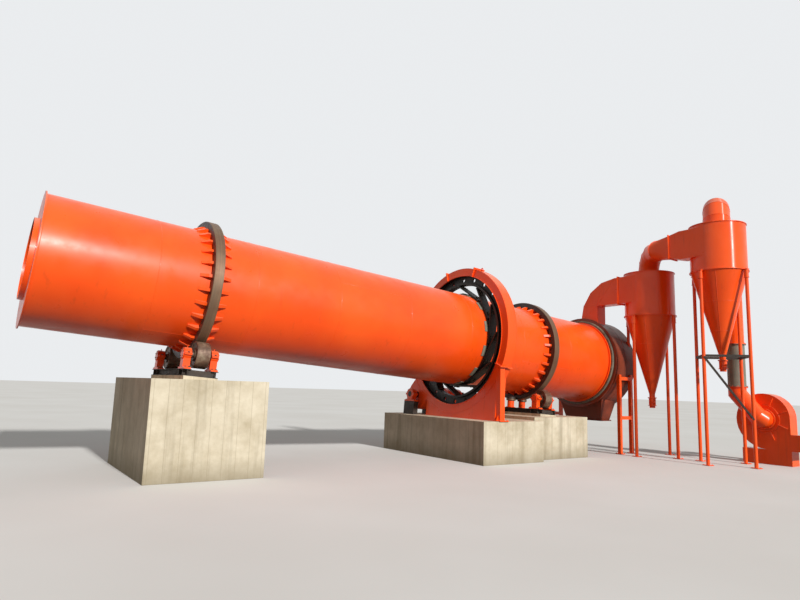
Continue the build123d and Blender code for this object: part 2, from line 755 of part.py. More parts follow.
def pipe_run(points, radius):
    """A round pipe through points, with mitred corners."""
    solid = None
    count = len(points)
    directions = [(Vector(*points[i + 1]) - Vector(*points[i])).normalized() for i in range(count - 1)]
    for i in range(count - 1):
        start, end = Vector(*points[i]), Vector(*points[i + 1])
        ahead = directions[i]
        over = 2.2 * radius
        back_reach = over if i > 0 else 0
        front_reach = over if i < count - 2 else 0
        plane = Plane(origin=start - ahead * back_reach, z_dir=ahead)
        length = (end - start).length + back_reach + front_reach
        piece = extrude(plane * Circle(radius), length)
        if i > 0:
            cut = Plane(origin=start, z_dir=directions[i - 1] + ahead)
            piece = split(piece, bisect_by=cut, keep=Keep.TOP)
        if i < count - 2:
            cut = Plane(origin=end, z_dir=ahead + directions[i + 1])
            piece = split(piece, bisect_by=cut, keep=Keep.BOTTOM)
        solid = piece if solid is None else solid + piece
    return solid


def bend_points(centre, radial, rise, radius, sweep, gores):
    """Corners of a mitred bend that starts upright and turns towards -radial."""
    points = []
    step = radians(sweep) / gores
    corner = radius / cos(step / 2)
    for gore in range(gores):
        turn = step * (gore + 0.5)
        out = corner * cos(turn)
        up = corner * sin(turn)
        points.append((centre[0] + radial[0] * out, centre[1] + radial[1] * out, rise + up))
    return points


def crossover_solid(inset):
    """The duct from the first cyclone's roof to the second cyclone, as a solid."""
    x, y, height = crossover_start()
    roof = cyclone_rim[0] + CYCLONE_BARREL + ROOF_PLATE
    span = (x - cyclone_x, y + TRANSITION_LENGTH - CYCLONE_Y[0])
    distance = hypot(*span)
    heading = (span[0] / distance, span[1] / distance)
    centre = (cyclone_x + heading[0] * OUTLET_BEND, CYCLONE_Y[0] + heading[1] * OUTLET_BEND)
    radial = (-heading[0], -heading[1])
    bend_start = height - OUTLET_BEND
    corners = bend_points(centre, radial, bend_start, OUTLET_BEND, 90, GORES)
    first = (cyclone_x, CYCLONE_Y[0], roof - inset)
    last = (x, y + TRANSITION_LENGTH, height)
    pipe = pipe_run([first] + corners + [last], OUTLET_RADIUS - inset)
    round_end = Plane(origin=last, x_dir=(0, 0, 1), z_dir=(heading[0], heading[1], 0)) * Circle(OUTLET_RADIUS - inset)
    half = CROSSOVER_HEIGHT / 2 - inset
    square = Rectangle(2 * half, INLET_WIDTH - 2 * inset)
    square_end = Plane(origin=(x, y, height), x_dir=(0, 0, 1), z_dir=(0, -1, 0)) * square
    low, high = inlet_levels(1)
    flare_end = CYCLONE_Y[1] + CYCLONE_RADIUS
    x0, x1 = inlet_sides(inset)
    run = extrude(Plane.YZ.offset(x0) * face_of([
        (y, height - half),
        (y, height + half),
        (flare_end, high - inset),
        (CYCLONE_Y[1] - inset, high - inset),
        (CYCLONE_Y[1] - inset, low + inset),
        (flare_end, low + inset),
    ]), x1 - x0)
    return pipe + loft([round_end, square_end]) + run


def beside_cyclone(bearing):
    """World X and Y of an upright pipe that just clears the second cyclone."""
    reach = 2 * return_bend_radius
    turn = radians(bearing)
    return cyclone_x + reach * cos(turn), CYCLONE_Y[1] + reach * sin(turn)


def downcomer_axis():
    """World X and Y of the downcomer."""
    return beside_cyclone(DOWNCOMER_BEARING)


def return_bend_solid(inset):
    """The bend on the second cyclone's roof, its reducer and the pipe below it."""
    heading = cos(radians(RETURN_BEARING)), sin(radians(RETURN_BEARING))
    roof = cyclone_rim[1] + CYCLONE_BARREL + ROOF_PLATE
    rise = roof + RETURN_STUB
    centre = (cyclone_x + heading[0] * return_bend_radius, CYCLONE_Y[1] + heading[1] * return_bend_radius)
    radial = (-heading[0], -heading[1])
    corners = bend_points(centre, radial, rise, return_bend_radius, 180, GORES + 2)
    first = (cyclone_x, CYCLONE_Y[1], roof - inset)
    over_x, over_y = beside_cyclone(RETURN_BEARING)
    foot = rise - RETURN_STUB
    bend = pipe_run([first] + corners + [(over_x, over_y, foot)], RETURN_RADIUS - inset)
    x, y = downcomer_axis()
    wide = Pos(over_x, over_y, foot) * Circle(RETURN_RADIUS - inset)
    narrow = Pos(x, y, foot - REDUCING_LENGTH) * Circle(DOWNCOMER_RADIUS - inset)
    below = BARE_SECTION_TOP - inset
    pipe = rod_along_z(DOWNCOMER_RADIUS - inset, below, foot - REDUCING_LENGTH - below, x, y)
    return bend + loft([narrow, wide]) + pipe


def fan_inlet_solid(inset):
    """The sloping inlet pipe from the downcomer to the fan's eye."""
    x, y = downcomer_axis()
    face = fan_x - FAN_WIDTH / 2
    radius = DOWNCOMER_RADIUS - inset
    bend = 0.8 * DOWNCOMER_RADIUS
    points = [
        (x, y, BARE_SECTION_BOTTOM + inset),
        (x, y, BARE_SECTION_BOTTOM - bend),
        (x, FAN_Y + bend / 3, FAN_HEIGHT + bend / 3),
        (x + bend / 3, FAN_Y, FAN_HEIGHT),
        (face + inset, FAN_Y, FAN_HEIGHT),
    ]
    return pipe_run(points, radius)


def cyclone_cone(cyclone):
    """The tapered wall of a cyclone under its rim, open at both ends."""
    outside = Cone(CONE_TIP_RADIUS, CYCLONE_RADIUS, CYCLONE_CONE)
    inside = Cone(CONE_TIP_RADIUS - CYCLONE_WALL, CYCLONE_RADIUS - CYCLONE_WALL, CYCLONE_CONE)
    middle = cyclone_rim[cyclone] - CYCLONE_CONE / 2
    return Pos(cyclone_x, CYCLONE_Y[cyclone], middle) * (outside - inside)


def cyclone_legs(cyclone):
    """Four pipe legs bracketed under the rim flange; one of the first cyclone's stands on the hood."""
    x, y = cyclone_x, CYCLONE_Y[cyclone]
    top = cyclone_rim[cyclone] - RIM_FLANGE / 2
    half_foot = LEG_FOOT / 2
    half_bracket = LEG_BRACKET / 2
    foot = block((LEG_CIRCLE - half_foot, LEG_CIRCLE + half_foot), (-half_foot, half_foot), (0, LEG_FOOT_PLATE))
    bracket = block((CYCLONE_RADIUS + RIM_FLANGE_WIDTH / 4, LEG_CIRCLE + half_bracket),
                    (-half_bracket, half_bracket), (top - LEG_FOOT_PLATE, top))
    tube = rod_along_z(LEG_RADIUS, 0, top, LEG_CIRCLE)
    legs = []
    for quarter in range(4):
        turn = Pos(x, y, 0) * Rot(0, 0, 90 * quarter - LEG_BEARING[cyclone])
        leg = (turn * tube - on_drum_axis(hood_drum())).solids().sort_by(Axis.Z)[-1]
        if leg.bounding_box().min.Z < LEG_FOOT_PLATE:
            leg += turn * foot
        legs.append(leg + turn * bracket)
    return legs


def brace_ring():
    """Four bars that tie the second cyclone's legs together."""
    x, y = cyclone_x, CYCLONE_Y[1]
    half = LEG_CIRCLE / sqrt(2) + BRACE_SIZE / 2
    ring = Box(2 * half, 2 * half, BRACE_SIZE) - Box(2 * half - 2 * BRACE_SIZE, 2 * half - 2 * BRACE_SIZE, BRACE_SIZE)
    turned = Rot(0, 0, 45 - LEG_BEARING[1]) * ring
    return Pos(x, y, cyclone_rim[1] - BRACE_DROP) * turned


def fan_outline(inset, run_on):
    """The scroll of the fan in Y and Z with its outlet low on the near side."""
    points = []
    steps = 24
    for step in range(steps + 1):
        turn = step / steps
        radius = FAN_RADIUS + FAN_SPREAD * turn - inset
        angle = radians(180 - 270 * turn)
        points.append((radius * cos(angle), radius * sin(angle)))
    low = points[-1][1]
    points.append((-FAN_OUTLET_REACH - run_on, low))
    points.append((-FAN_OUTLET_REACH - run_on, low + FAN_OUTLET_HEIGHT - 2 * inset))
    points.append((-FAN_RADIUS + inset, low + FAN_OUTLET_HEIGHT - 2 * inset))
    return face_of(points)


def fan_housing():
    """The fan's scroll casing with its eye and its outlet flange."""
    start = fan_x - FAN_WIDTH / 2
    body = extrude(Plane.YZ.offset(start) * fan_outline(0, 0), FAN_WIDTH)
    body -= extrude(Plane.YZ.offset(start + FAN_PLATE) * fan_outline(FAN_PLATE, 2 * FAN_PLATE),
                    FAN_WIDTH - 2 * FAN_PLATE)
    body = Pos(0, FAN_Y, FAN_HEIGHT) * body
    return body - rod_along_x(DOWNCOMER_RADIUS - DUCT_WALL, start - FAN_PLATE, 3 * FAN_PLATE, FAN_Y, FAN_HEIGHT)


def make_drum():
    """Everything that turns with the drum."""
    names = ("shell_feed_course", "shell_second_course", "shell_gear_course", "shell_discharge_course")
    for index, name in enumerate(names):
        place(name, on_drum_axis(shell_course(index)))
    end_plate = rod_along_x(SHELL_RADIUS + END_PLATE_LIP, -FEED_OVERHANG - END_PLATE, END_PLATE,
                            bore=FEED_OPENING_RADIUS)
    mouth = rod_along_x(FEED_OPENING_RADIUS + END_PLATE, -FEED_OVERHANG - 5 * END_PLATE, 5 * END_PLATE,
                        bore=FEED_OPENING_RADIUS)
    place("feed_end_ring", on_drum_axis(end_plate + mouth))
    collar = rod_along_x(SHELL_RADIUS + COLLAR_HEIGHT, shell_end - COLLAR_FROM_END - DISCHARGE_COLLAR,
                         DISCHARGE_COLLAR, bore=SHELL_RADIUS + SEAT)
    place("discharge_collar", on_drum_axis(collar))
    flights = spread_round_x(lifting_flight(), FLIGHTS)
    place("lifting_flights", *[on_drum_axis(flight) for flight in flights])
    for name, station in (("feed", 0), ("discharge", RING_SPACING)):
        ring = rod_along_x(ring_radius, station - RING_WIDTH / 2, RING_WIDTH, bore=ring_seat)
        place(f"riding_ring_{name}", on_drum_axis(ring))
        chairs = spread_round_x(ring_chair(), CHAIRS)
        place(f"ring_chairs_{name}", *[on_drum_axis(Pos(station, 0, 0) * chair) for chair in chairs])
    place("girth_gear", on_drum_axis(girth_gear()))
    plates = spread_round_x(spring_plate(), SPRING_PLATE_COUNT)
    place("gear_spring_plates", *[on_drum_axis(plate) for plate in plates])


def make_roller_stations():
    """Rollers, bearings, frames and piers under the two riding rings."""
    for name, station in (("feed", 0), ("discharge", RING_SPACING)):
        for side, sign in (("near", -1), ("far", 1)):
            roller = Pos(station, 0, 0) * support_roller(sign)
            place(f"support_roller_{name}_{side}", on_drum_axis(roller))
        place(f"roller_bearings_{name}", *roller_bearings(station))
        place(f"roller_base_{name}", roller_base(station))
    place("pier_feed", bedded_pier(0))
    place("pier_discharge", bedded_pier(RING_SPACING))


def make_thrust_rollers():
    """The two rollers that stop the drum from creeping along its axis."""
    offset = RING_WIDTH / 2 + RUNNING_GAP + THRUST_RADIUS
    low = -ring_radius - THRUST_HEIGHT + THRUST_TUCK
    housings = []
    for name, sign in (("uphill", -1), ("downhill", 1)):
        along = RING_SPACING + sign * offset
        roller = rod_along_z(THRUST_RADIUS, low, THRUST_HEIGHT, along)
        roller = chamfer(roller.edges().filter_by(GeomType.CIRCLE), THRUST_CHAMFER)
        shaft = rod_along_z(THRUST_SHAFT_RADIUS, base_top + THRUST_TUCK, low + THRUST_HEIGHT / 2 - base_top
                            - THRUST_TUCK, along)
        place(f"thrust_roller_{name}", on_drum_axis(roller + shaft))
        housing = rod_along_z(THRUST_HOUSING_RADIUS, base_top, low - END_GAP - base_top, along)
        foot_out = sign * (ROLLER_BEARING_OFFSET + ROLLER_BEARING_WIDTH / 2) + RING_SPACING
        foot = block(sorted((along - sign * THRUST_HOUSING_RADIUS, foot_out)),
                     (-THRUST_HOUSING_RADIUS, THRUST_HOUSING_RADIUS), (base_top, base_top + POST_PLATE))
        bore = rod_along_z(THRUST_SHAFT_RADIUS + SHAFT_GAP, base_top + THRUST_TUCK - SHAFT_GAP,
                           THRUST_HEIGHT + 3 * THRUST_TUCK, along)
        housings.append(on_drum_axis(housing + foot - bore))
    place("thrust_roller_housings", *housings)


def make_gear_guard():
    """The guard in bolted segments, its lower part standing on the drive pier."""
    body = guard_body()
    right, left, near = GUARD_JOINTS
    far = near - 180 - 45
    flanges = {angle: joint_flange(angle) for angle in (right, left)}
    top = body & sector(right, left)
    place("gear_guard_top", on_drum_axis(top + flanges[right] + flanges[left]))
    near_part = (body & sector(left, near)) - flanges[left] + joint_flange(near)
    place("gear_guard_near", on_drum_axis(near_part))
    place("gear_guard_far", on_drum_axis((body & sector(far, right)) - flanges[right]))
    lower = body - sector(left, near) - sector(far, right) - sector(right, left) - joint_flange(near)
    place("gear_guard_lower", above(on_drum_axis(lower), drive_pier_top))
    place("gear_guard_post", guard_post())


def make_drive():
    """Pinion, bearings, reducer, motor and their pier."""
    place("pinion", on_drum_axis(pinion()))
    place("pinion_bearings", *pinion_bearings())
    place("drive_base", *drive_base())
    place("reducer", reducer())
    place("drive_motor", drive_motor())
    middle = RING_SPACING * cos(radians(SLOPE))
    start = middle - PIER_LENGTH / 2
    end = middle + PIER_LENGTH / 2
    far = pinion_y + REDUCER_SPREAD + REDUCER_SMALL_BOSS + DRIVE_PIER_MARGIN
    slab = block((gear_x - DRIVE_PIER_AHEAD, start), (-PIER_WIDTH / 2 - POST_CAP, far), (0, drive_pier_top))
    slab += block((start, end), (PIER_WIDTH / 2, far), (0, drive_pier_top))
    place("pier_drive", slab)


def make_hood():
    """The stationary discharge hood, its seal, chute and stand."""
    seal = rod_along_x(seal_radius, hood_start - SEAL_LENGTH, SEAL_LENGTH, bore=SHELL_RADIUS + SEAL_CLEARANCE)
    place("discharge_seal", on_drum_axis(seal))
    shell = hood_drum()
    shell -= rod_along_x(hood_radius - HOOD_PLATE, hood_start + HOOD_PLATE, HOOD_LENGTH - 2 * HOOD_PLATE)
    shell -= rod_along_x(SHELL_RADIUS + SEAL_CLEARANCE, hood_start - HOOD_PLATE, 3 * HOOD_PLATE)
    shell = on_drum_axis(shell) - exhaust_duct_solid(0, 0) - hood_chute(0, 0)
    place("discharge_hood", shell)
    solid_hood = on_drum_axis(hood_drum())
    chute = hood_chute(0, 0) - hood_chute(HOOD_PLATE, 4 * HOOD_PLATE)
    inside = rod_along_x(hood_radius - HOOD_PLATE, hood_start + HOOD_PLATE, HOOD_LENGTH - 2 * HOOD_PLATE)
    chute -= on_drum_axis(inside)
    across, along = [side / 2 + CHUTE_FLANGE for side in CHUTE_MOUTH]
    flange = Pos(hood_chute_x(), 0, 0) * block((-across, across), (-along, along),
                                               (chute_bottom - POST_PLATE, chute_bottom))
    flange -= hood_chute(HOOD_PLATE, 4 * HOOD_PLATE)
    place("discharge_chute", chute + flange)
    place("hood_stand", *hood_stand(solid_hood))


def hood_stand(solid_hood):
    """Two braced trestles that carry the hood at its sides."""
    x, height = hood_point(HOOD_LENGTH / 2, 0)
    trestles = []
    for side in (-1, 1):
        y = side * (hood_radius - STAND_TUCK)
        ys = (y - STAND_LEG / 2, y + STAND_LEG / 2)
        frame = None
        for end in (-1, 1):
            at = x + end * STAND_SPREAD / 2
            leg = block((at - STAND_LEG / 2, at + STAND_LEG / 2), ys, (0, height - hood_radius / 4))
            frame = leg if frame is None else frame + leg
            half = STAND_LEG
            frame += block((at - half, at + half), (y - half, y + half), (0, LEG_FOOT_PLATE))
        half = STAND_SPREAD / 2
        for level in (0.45, 0.95):
            middle = level * (height - hood_radius / 4)
            frame += block((x - half, x + half), ys, (middle - STAND_LEG / 2, middle + STAND_LEG / 2))
        trestles.append(frame - solid_hood)
    return trestles


def make_exhaust():
    """Ducts between hood, cyclones and fan."""
    duct = exhaust_duct_solid(0, 0) - exhaust_duct_solid(DUCT_WALL, 2 * DUCT_WALL)
    place("exhaust_duct", duct - on_drum_axis(hood_drum()) - barrel_solid(0))
    crossover = crossover_solid(0) - crossover_solid(DUCT_WALL) - barrel_solid(1)
    place("crossover_duct", crossover)
    place("return_bend", return_bend_solid(0) - return_bend_solid(DUCT_WALL))
    x, y = downcomer_axis()
    bare = rod_along_z(DOWNCOMER_RADIUS, BARE_SECTION_BOTTOM, BARE_SECTION_TOP - BARE_SECTION_BOTTOM, x, y,
                       bore=DOWNCOMER_RADIUS - DUCT_WALL)
    place("bare_downcomer", bare)
    place("fan_inlet", fan_inlet_solid(0) - fan_inlet_solid(DUCT_WALL))


def make_cyclones():
    """Two like cyclones, the second one higher and nearer."""
    ducts = (exhaust_duct_solid(DUCT_WALL, 0), crossover_solid(DUCT_WALL))
    outlets = (OUTLET_RADIUS, RETURN_RADIUS)
    for cyclone in (0, 1):
        number = cyclone + 1
        x, y = cyclone_x, CYCLONE_Y[cyclone]
        rim = cyclone_rim[cyclone]
        top = rim + CYCLONE_BARREL
        barrel = rod_along_z(CYCLONE_RADIUS, rim, CYCLONE_BARREL, x, y, bore=CYCLONE_RADIUS - CYCLONE_WALL)
        barrel += rod_along_z(CYCLONE_RADIUS + RIM_FLANGE_WIDTH, rim, RIM_FLANGE / 2, x, y,
                              bore=CYCLONE_RADIUS - CYCLONE_WALL)
        place(f"cyclone_{number}_barrel", barrel - ducts[cyclone])
        roof = rod_along_z(CYCLONE_RADIUS + ROOF_LIP, top, ROOF_PLATE, x, y, bore=outlets[cyclone] - DUCT_WALL)
        place(f"cyclone_{number}_roof", roof)
        flange = rod_along_z(CYCLONE_RADIUS + RIM_FLANGE_WIDTH, rim - RIM_FLANGE / 2, RIM_FLANGE / 2, x, y,
                             bore=CYCLONE_RADIUS - CYCLONE_WALL)
        place(f"cyclone_{number}_cone", cyclone_cone(cyclone) + flange)
        spout = rod_along_z(CONE_TIP_RADIUS, rim - CYCLONE_CONE - SPOUT_LENGTH, SPOUT_LENGTH, x, y,
                            bore=CONE_TIP_RADIUS - CYCLONE_WALL)
        place(f"cyclone_{number}_spout", spout)
        place(f"cyclone_{number}_legs", *cyclone_legs(cyclone))
    place("cyclone_2_brace", brace_ring() - [leg for leg in cyclone_legs(1)])


def make_fan():
    """The exhaust fan on its stand, with its motor."""
    place("fan_housing", fan_housing())
    face = fan_x + FAN_WIDTH / 2
    motor_start = face + 0.6 * FAN_MOTOR_RADIUS
    body = motor(FAN_MOTOR_RADIUS, FAN_MOTOR_LENGTH, 2 * FAN_MOTOR_RADIUS, FAN_HEIGHT - FAN_STAND_HEIGHT)
    shaft = rod_along_x(FAN_SHAFT_RADIUS, face - motor_start, motor_start - face)
    place("fan_motor", Pos(motor_start, FAN_Y, FAN_HEIGHT) * (body + shaft))
    bottom = FAN_HEIGHT - FAN_RADIUS - FAN_SPREAD
    half = FAN_RADIUS
    stand = block((fan_x - FAN_WIDTH / 2, fan_x + FAN_WIDTH / 2), (FAN_Y - half, FAN_Y + half), (0, bottom))
    stand += block((face, motor_start + FAN_MOTOR_LENGTH), (FAN_Y - half / 2, FAN_Y + half / 2),
                   (0, FAN_STAND_HEIGHT))
    place("fan_base", stand)


make_drum()
make_roller_stations()
make_thrust_rollers()
make_gear_guard()
make_drive()
make_hood()
make_exhaust()
make_cyclones()
make_fan()

os.makedirs("parts", exist_ok=True)
for name, shape in parts.items():
    export_step(shape, f"parts/{name}.step")
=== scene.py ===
import json
import math
from itertools import product

import bpy
from mathutils import Matrix, Vector


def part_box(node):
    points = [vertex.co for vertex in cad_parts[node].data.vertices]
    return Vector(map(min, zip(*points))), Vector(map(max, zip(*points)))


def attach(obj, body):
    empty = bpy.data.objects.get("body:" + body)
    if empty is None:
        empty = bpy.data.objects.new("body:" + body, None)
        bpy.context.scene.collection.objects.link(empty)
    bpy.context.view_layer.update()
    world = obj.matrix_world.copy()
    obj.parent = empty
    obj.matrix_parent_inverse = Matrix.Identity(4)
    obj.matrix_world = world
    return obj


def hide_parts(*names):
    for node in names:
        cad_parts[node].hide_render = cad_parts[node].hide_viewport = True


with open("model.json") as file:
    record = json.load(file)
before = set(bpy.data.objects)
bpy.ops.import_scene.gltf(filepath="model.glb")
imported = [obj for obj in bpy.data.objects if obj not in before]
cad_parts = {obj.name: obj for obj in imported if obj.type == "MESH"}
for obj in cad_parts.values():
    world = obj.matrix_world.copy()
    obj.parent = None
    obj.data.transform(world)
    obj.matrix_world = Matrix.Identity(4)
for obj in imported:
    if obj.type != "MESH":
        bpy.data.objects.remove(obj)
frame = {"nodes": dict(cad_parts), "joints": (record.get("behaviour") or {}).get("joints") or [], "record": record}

bl_info = {
    "name": "Rotary drum dryer",
    "version": (1, 0, 0),
    "blender": (4, 5, 0),
    "location": "3D View > Sidebar > Dryer",
    "description": "Finishes and fittings of a rotary drum dryer with its cyclones and fan",
    "category": "Object",
}

# The bodies of the frame
PLANT = "plant"
DRUM = "drum"

# The drum's joint, as the frame has it
DRUM_AXIS = next(joint for joint in frame["joints"] if joint["name"] == "drum_turn")

# Rows of repeated pieces, as the frame has them
SPRING_PLATES = 12
GUARD_JOINTS = (73, 107, 203)
LEG_BEARINGS = (3, 8)
CYCLONE_Y = (-2.0, -4.1)
GORES = 4

# Both sides or both ends of a thing
BOTH = (-1, 1)

# How far apart fitted round faces lie, from a roller's middle to its bearings, and the circle of the legs
FIT_GAP = 0.0003
BEARING_SPAN = 0.25
LEG_CIRCLE = 0.775

# The cyclones' barrels and inlets: how far an inlet lies under the barrel's top, how wide and high it is, and
# how far the second one stands out from its barrel
BARREL_HEIGHT = 1.28
INLET_DROP = 0.095
INLET_WIDTH = 0.4
INLET_HEIGHT = 0.8
INLET_REACH = 0.32

# Thickness of the ducts' angle flanges, and how far they stand proud
DUCT_FLANGE = (0.024, 0.032)

# Lays a shape that is spun about Z round the drum's axis instead, its angles counted from Y towards Z
ACROSS_AND_UP = Matrix(((0, 0, 1, 0), (1, 0, 0, 0), (0, 1, 0, 0), (0, 0, 0, 1)))


def length(name, description, default):
    """A length that a user may change."""
    return bpy.props.FloatProperty(name=name, description=description, default=default, unit="LENGTH")


def colour(name, description, default):
    """A colour as an sRGB hex value."""
    return bpy.props.StringProperty(name=name, description=description, default=default)


class DryerSizes(bpy.types.PropertyGroup):
    """Sizes of the dryer that the fittings are set by."""

    slope: bpy.props.FloatProperty(
        name="Slope", description="Fall of the drum towards its discharge end",
        default=math.asin(-DRUM_AXIS["axis"][2]), subtype="ANGLE")
    axis_height: length("Axis height", "Height of the drum's axis over the feed riding ring's foot",
                        DRUM_AXIS["pos_m"][2])
    shell_radius: length("Shell radius", "Outside radius of the drum", 1.2)
    feed_end: length("Feed end", "Where the shell begins, along its axis", -2.9)
    discharge_end: length("Discharge end", "Where the shell ends, along its axis", 12.16)
    ring_spacing: length("Ring spacing", "From one riding ring to the other", 9.43)
    ring_seat: length("Ring bore", "Inside radius of the riding rings", 1.2606)
    ring_radius: length("Ring radius", "Outside radius of the riding rings", 1.413)
    ring_width: length("Ring width", "Width of the riding rings", 0.19)
    roller_radius: length("Roller radius", "Radius of the support rollers", 0.25)
    roller_width: length("Roller width", "Width of the support rollers", 0.25)
    roller_drop: length("Roller drop", "From the drum's axis down to the rollers' axes", 1.36249)
    roller_side: length("Roller side", "From the drum's axis out to the rollers' axes", 0.95403)
    gear_station: length("Gear station", "Where the girth gear stands, along the axis", 7.14)
    guard_radius: length("Guard radius", "Outside radius of the gear guard", 1.946)
    guard_opening: length("Guard opening", "Radius of the opening round the drum", 1.732)
    guard_width: length("Guard width", "Width of the gear guard", 0.293)
    hood_radius: length("Hood radius", "Radius of the discharge hood", 1.38)
    hood_start: length("Hood start", "Where the hood begins, along the axis", 12.1)
    cyclone_x: length("Cyclone place", "Where both cyclones stand along the plant", 12.8998)
    cyclone_radius: length("Cyclone radius", "Radius of the cyclone barrels", 0.705)
    outlet_radius: length("Outlet radius", "Radius of the first cyclone's outlet pipe", 0.29)
    return_radius: length("Return bend radius", "Radius of the pipe on the second cyclone", 0.34)
    downcomer_radius: length("Downcomer radius", "Radius of the pipe down to the fan", 0.23)
    cone_height: length("Cone height", "Height of the cyclones' cones", 2.3)
    spout_length: length("Spout length", "Length of the spouts under the cones", 0.4)
    chute_mouth: bpy.props.FloatVectorProperty(
        name="Chute mouth", description="Sides of the chute's mouth, along the plant and across it", size=2,
        default=(0.42, 1.3), unit="LENGTH")
    weld_size: length("Weld size", "How far a weld bead stands proud of its plate", 0.006)


class DryerFinishes(bpy.types.PropertyGroup):
    """Colours of the dryer's finishes."""

    enamel_light: colour("Enamel, fresh", "The orange enamel where it is clean", "#FB5A14")
    enamel_deep: colour("Enamel, deep", "The orange enamel in its deeper patches", "#F24D0D")
    # The hood's two enamel colours sit far below the orange enamel: painted shade over the whole hood and chute
    hood_enamel_painted_shade: colour("Hood enamel", "The dull enamel of the hood", "#923A1B")
    hood_enamel_painted_shade_deep: colour("Hood enamel, deep", "The dull enamel of the hood in its deeper patches", "#723018")
    dust: colour("Dust", "Fine dust that lies on flat places", "#BCA080")
    ring_tread: colour("Ring tread", "The rolled tread of rings and rollers", "#866A4E")
    ring_side: colour("Ring side", "The dark sides of rings and rollers", "#231B16")
    gear: colour("Gear", "Grease and scale on the girth gear", "#15110E")
    primer: colour("Primer", "Grey primed plate", "#85816F")
    concrete_light: colour("Concrete, light", "Pale patches of the concrete", "#D9CDB4")
    concrete_dark: colour("Concrete, dark", "Dark patches of the concrete", "#B5A78B")
    motor: colour("Motor", "The motors' enamel", "#4E6672")


class StageSettings(bpy.types.PropertyGroup):
    """Camera and light of the stage."""

    camera_place: bpy.props.FloatVectorProperty(
        name="Camera place", description="Where the camera stands", default=(-3.506, -12.280, 1.740),
        subtype="TRANSLATION")
    camera_yaw: bpy.props.FloatProperty(
        name="Yaw", description="Turn of the camera from +Y towards +X", default=math.radians(35.018),
        subtype="ANGLE")
    camera_pitch: bpy.props.FloatProperty(
        name="Pitch", description="How far the camera looks up", default=math.radians(8.286), subtype="ANGLE")
    camera_roll: bpy.props.FloatProperty(
        name="Roll", description="How far the camera leans", default=math.radians(1.852), subtype="ANGLE")
    camera_lens: bpy.props.FloatProperty(
        name="Lens", description="Focal length on a 36 mm frame", default=26.88, min=1)
    sun_energy: bpy.props.FloatProperty(
        name="Key light", description="Strength of the high lamp", default=4.0)
    sun_towards: bpy.props.FloatVectorProperty(
        name="Key light's place", description="Direction from the object to the high lamp",
        default=(0.0, -0.90, 0.435), subtype="DIRECTION")
    sky_strength: bpy.props.FloatProperty(name="Sky", description="Strength of the even light", default=0.37)


def linear(hex_colour):
    """A linear RGBA colour from an sRGB hex value."""
    parts = [int(hex_colour[i:i + 2], 16) / 255 for i in (1, 3, 5)]
    return (*[c / 12.92 if c <= 0.04045 else ((c + 0.055) / 1.055) ** 2.4 for c in parts], 1)


# What a Mix node needs to mix colours
COLOURS = {"data_type": "RGBA"}


def feed(tree, node, inputs):
    """Sets a node's inputs, each to a value or to a link from another node's output."""
    for key, value in inputs.items():
        if isinstance(value, bpy.types.NodeSocket):
            tree.links.new(value, node.inputs[key])
        else:
            node.inputs[key].default_value = value


def add_node(tree, kind, settings=None, inputs=None, output=0, stops=()):
    """Adds one node with its settings, its inputs and its colour stops, and gives back one of its outputs."""
    made = tree.nodes.new(kind)
    for name, value in (settings or {}).items():
        setattr(made, name, value)
    feed(tree, made, inputs or {})
    for number, (at, value) in enumerate(stops):
        elements = made.color_ramp.elements
        element = elements[number] if number < len(elements) else elements.new(at)
        element.position = at
        element.color = value if isinstance(value, tuple) else (value, value, value, 1)
    return made.outputs[output]


def new_material(name):
    """An empty node material's tree, its Principled shader and the object's own coordinates."""
    material = bpy.data.materials.new(name)
    material.use_nodes = True
    tree = material.node_tree
    place = add_node(tree, "ShaderNodeTexCoord", output="Object")
    return tree, tree.nodes["Principled BSDF"], place


def patches(tree, place, size, stops, detail=4.0, rough=0.55):
    """Soft patches of about a size in metres, each coloured between the stops."""
    cloud = add_node(tree, "ShaderNodeTexNoise", {},
                     {"Vector": place, "Scale": 1 / size, "Detail": detail, "Roughness": rough})
    return add_node(tree, "ShaderNodeValToRGB", {}, {"Fac": cloud}, stops=stops)


def runs(tree, place, breadth, reach, stops):
    """Streaks that run down a wall, of a breadth and a reach in metres, each coloured between the stops."""
    drawn = add_node(tree, "ShaderNodeMapping", {},
                     {"Vector": place, "Scale": (1 / breadth, 1 / breadth, 1 / reach)})
    return patches(tree, drawn, 1.0, stops)


def lying_dust(tree, place, least, full, amount):
    """A mask for dust: none below one steepness, thick in patches where the surface lies flatter."""
    normal = add_node(tree, "ShaderNodeTexCoord", output="Normal")
    up = add_node(tree, "ShaderNodeSeparateXYZ", {}, {"Vector": normal}, "Z")
    settled = add_node(tree, "ShaderNodeMapRange", {},
                       {"Value": up, "From Min": least, "From Max": full, "To Max": amount})
    cover = patches(tree, place, 0.5, [(0.32, 0.45), (0.6, 1.0)], 6)
    return add_node(tree, "ShaderNodeMath", {"operation": "MULTIPLY", "use_clamp": True},
                    {0: settled, 1: cover})


def dress(tree, shader, paint, rough, relief, others):
    """Gives a shader its colour, its roughness and a relief: a height, its strength and its depth."""
    height, strength, depth = relief
    bumps = add_node(tree, "ShaderNodeBump", {}, {"Height": height, "Strength": strength, "Distance": depth})
    feed(tree, shader, {"Base Color": paint, "Roughness": rough, "Normal": bumps, **others})


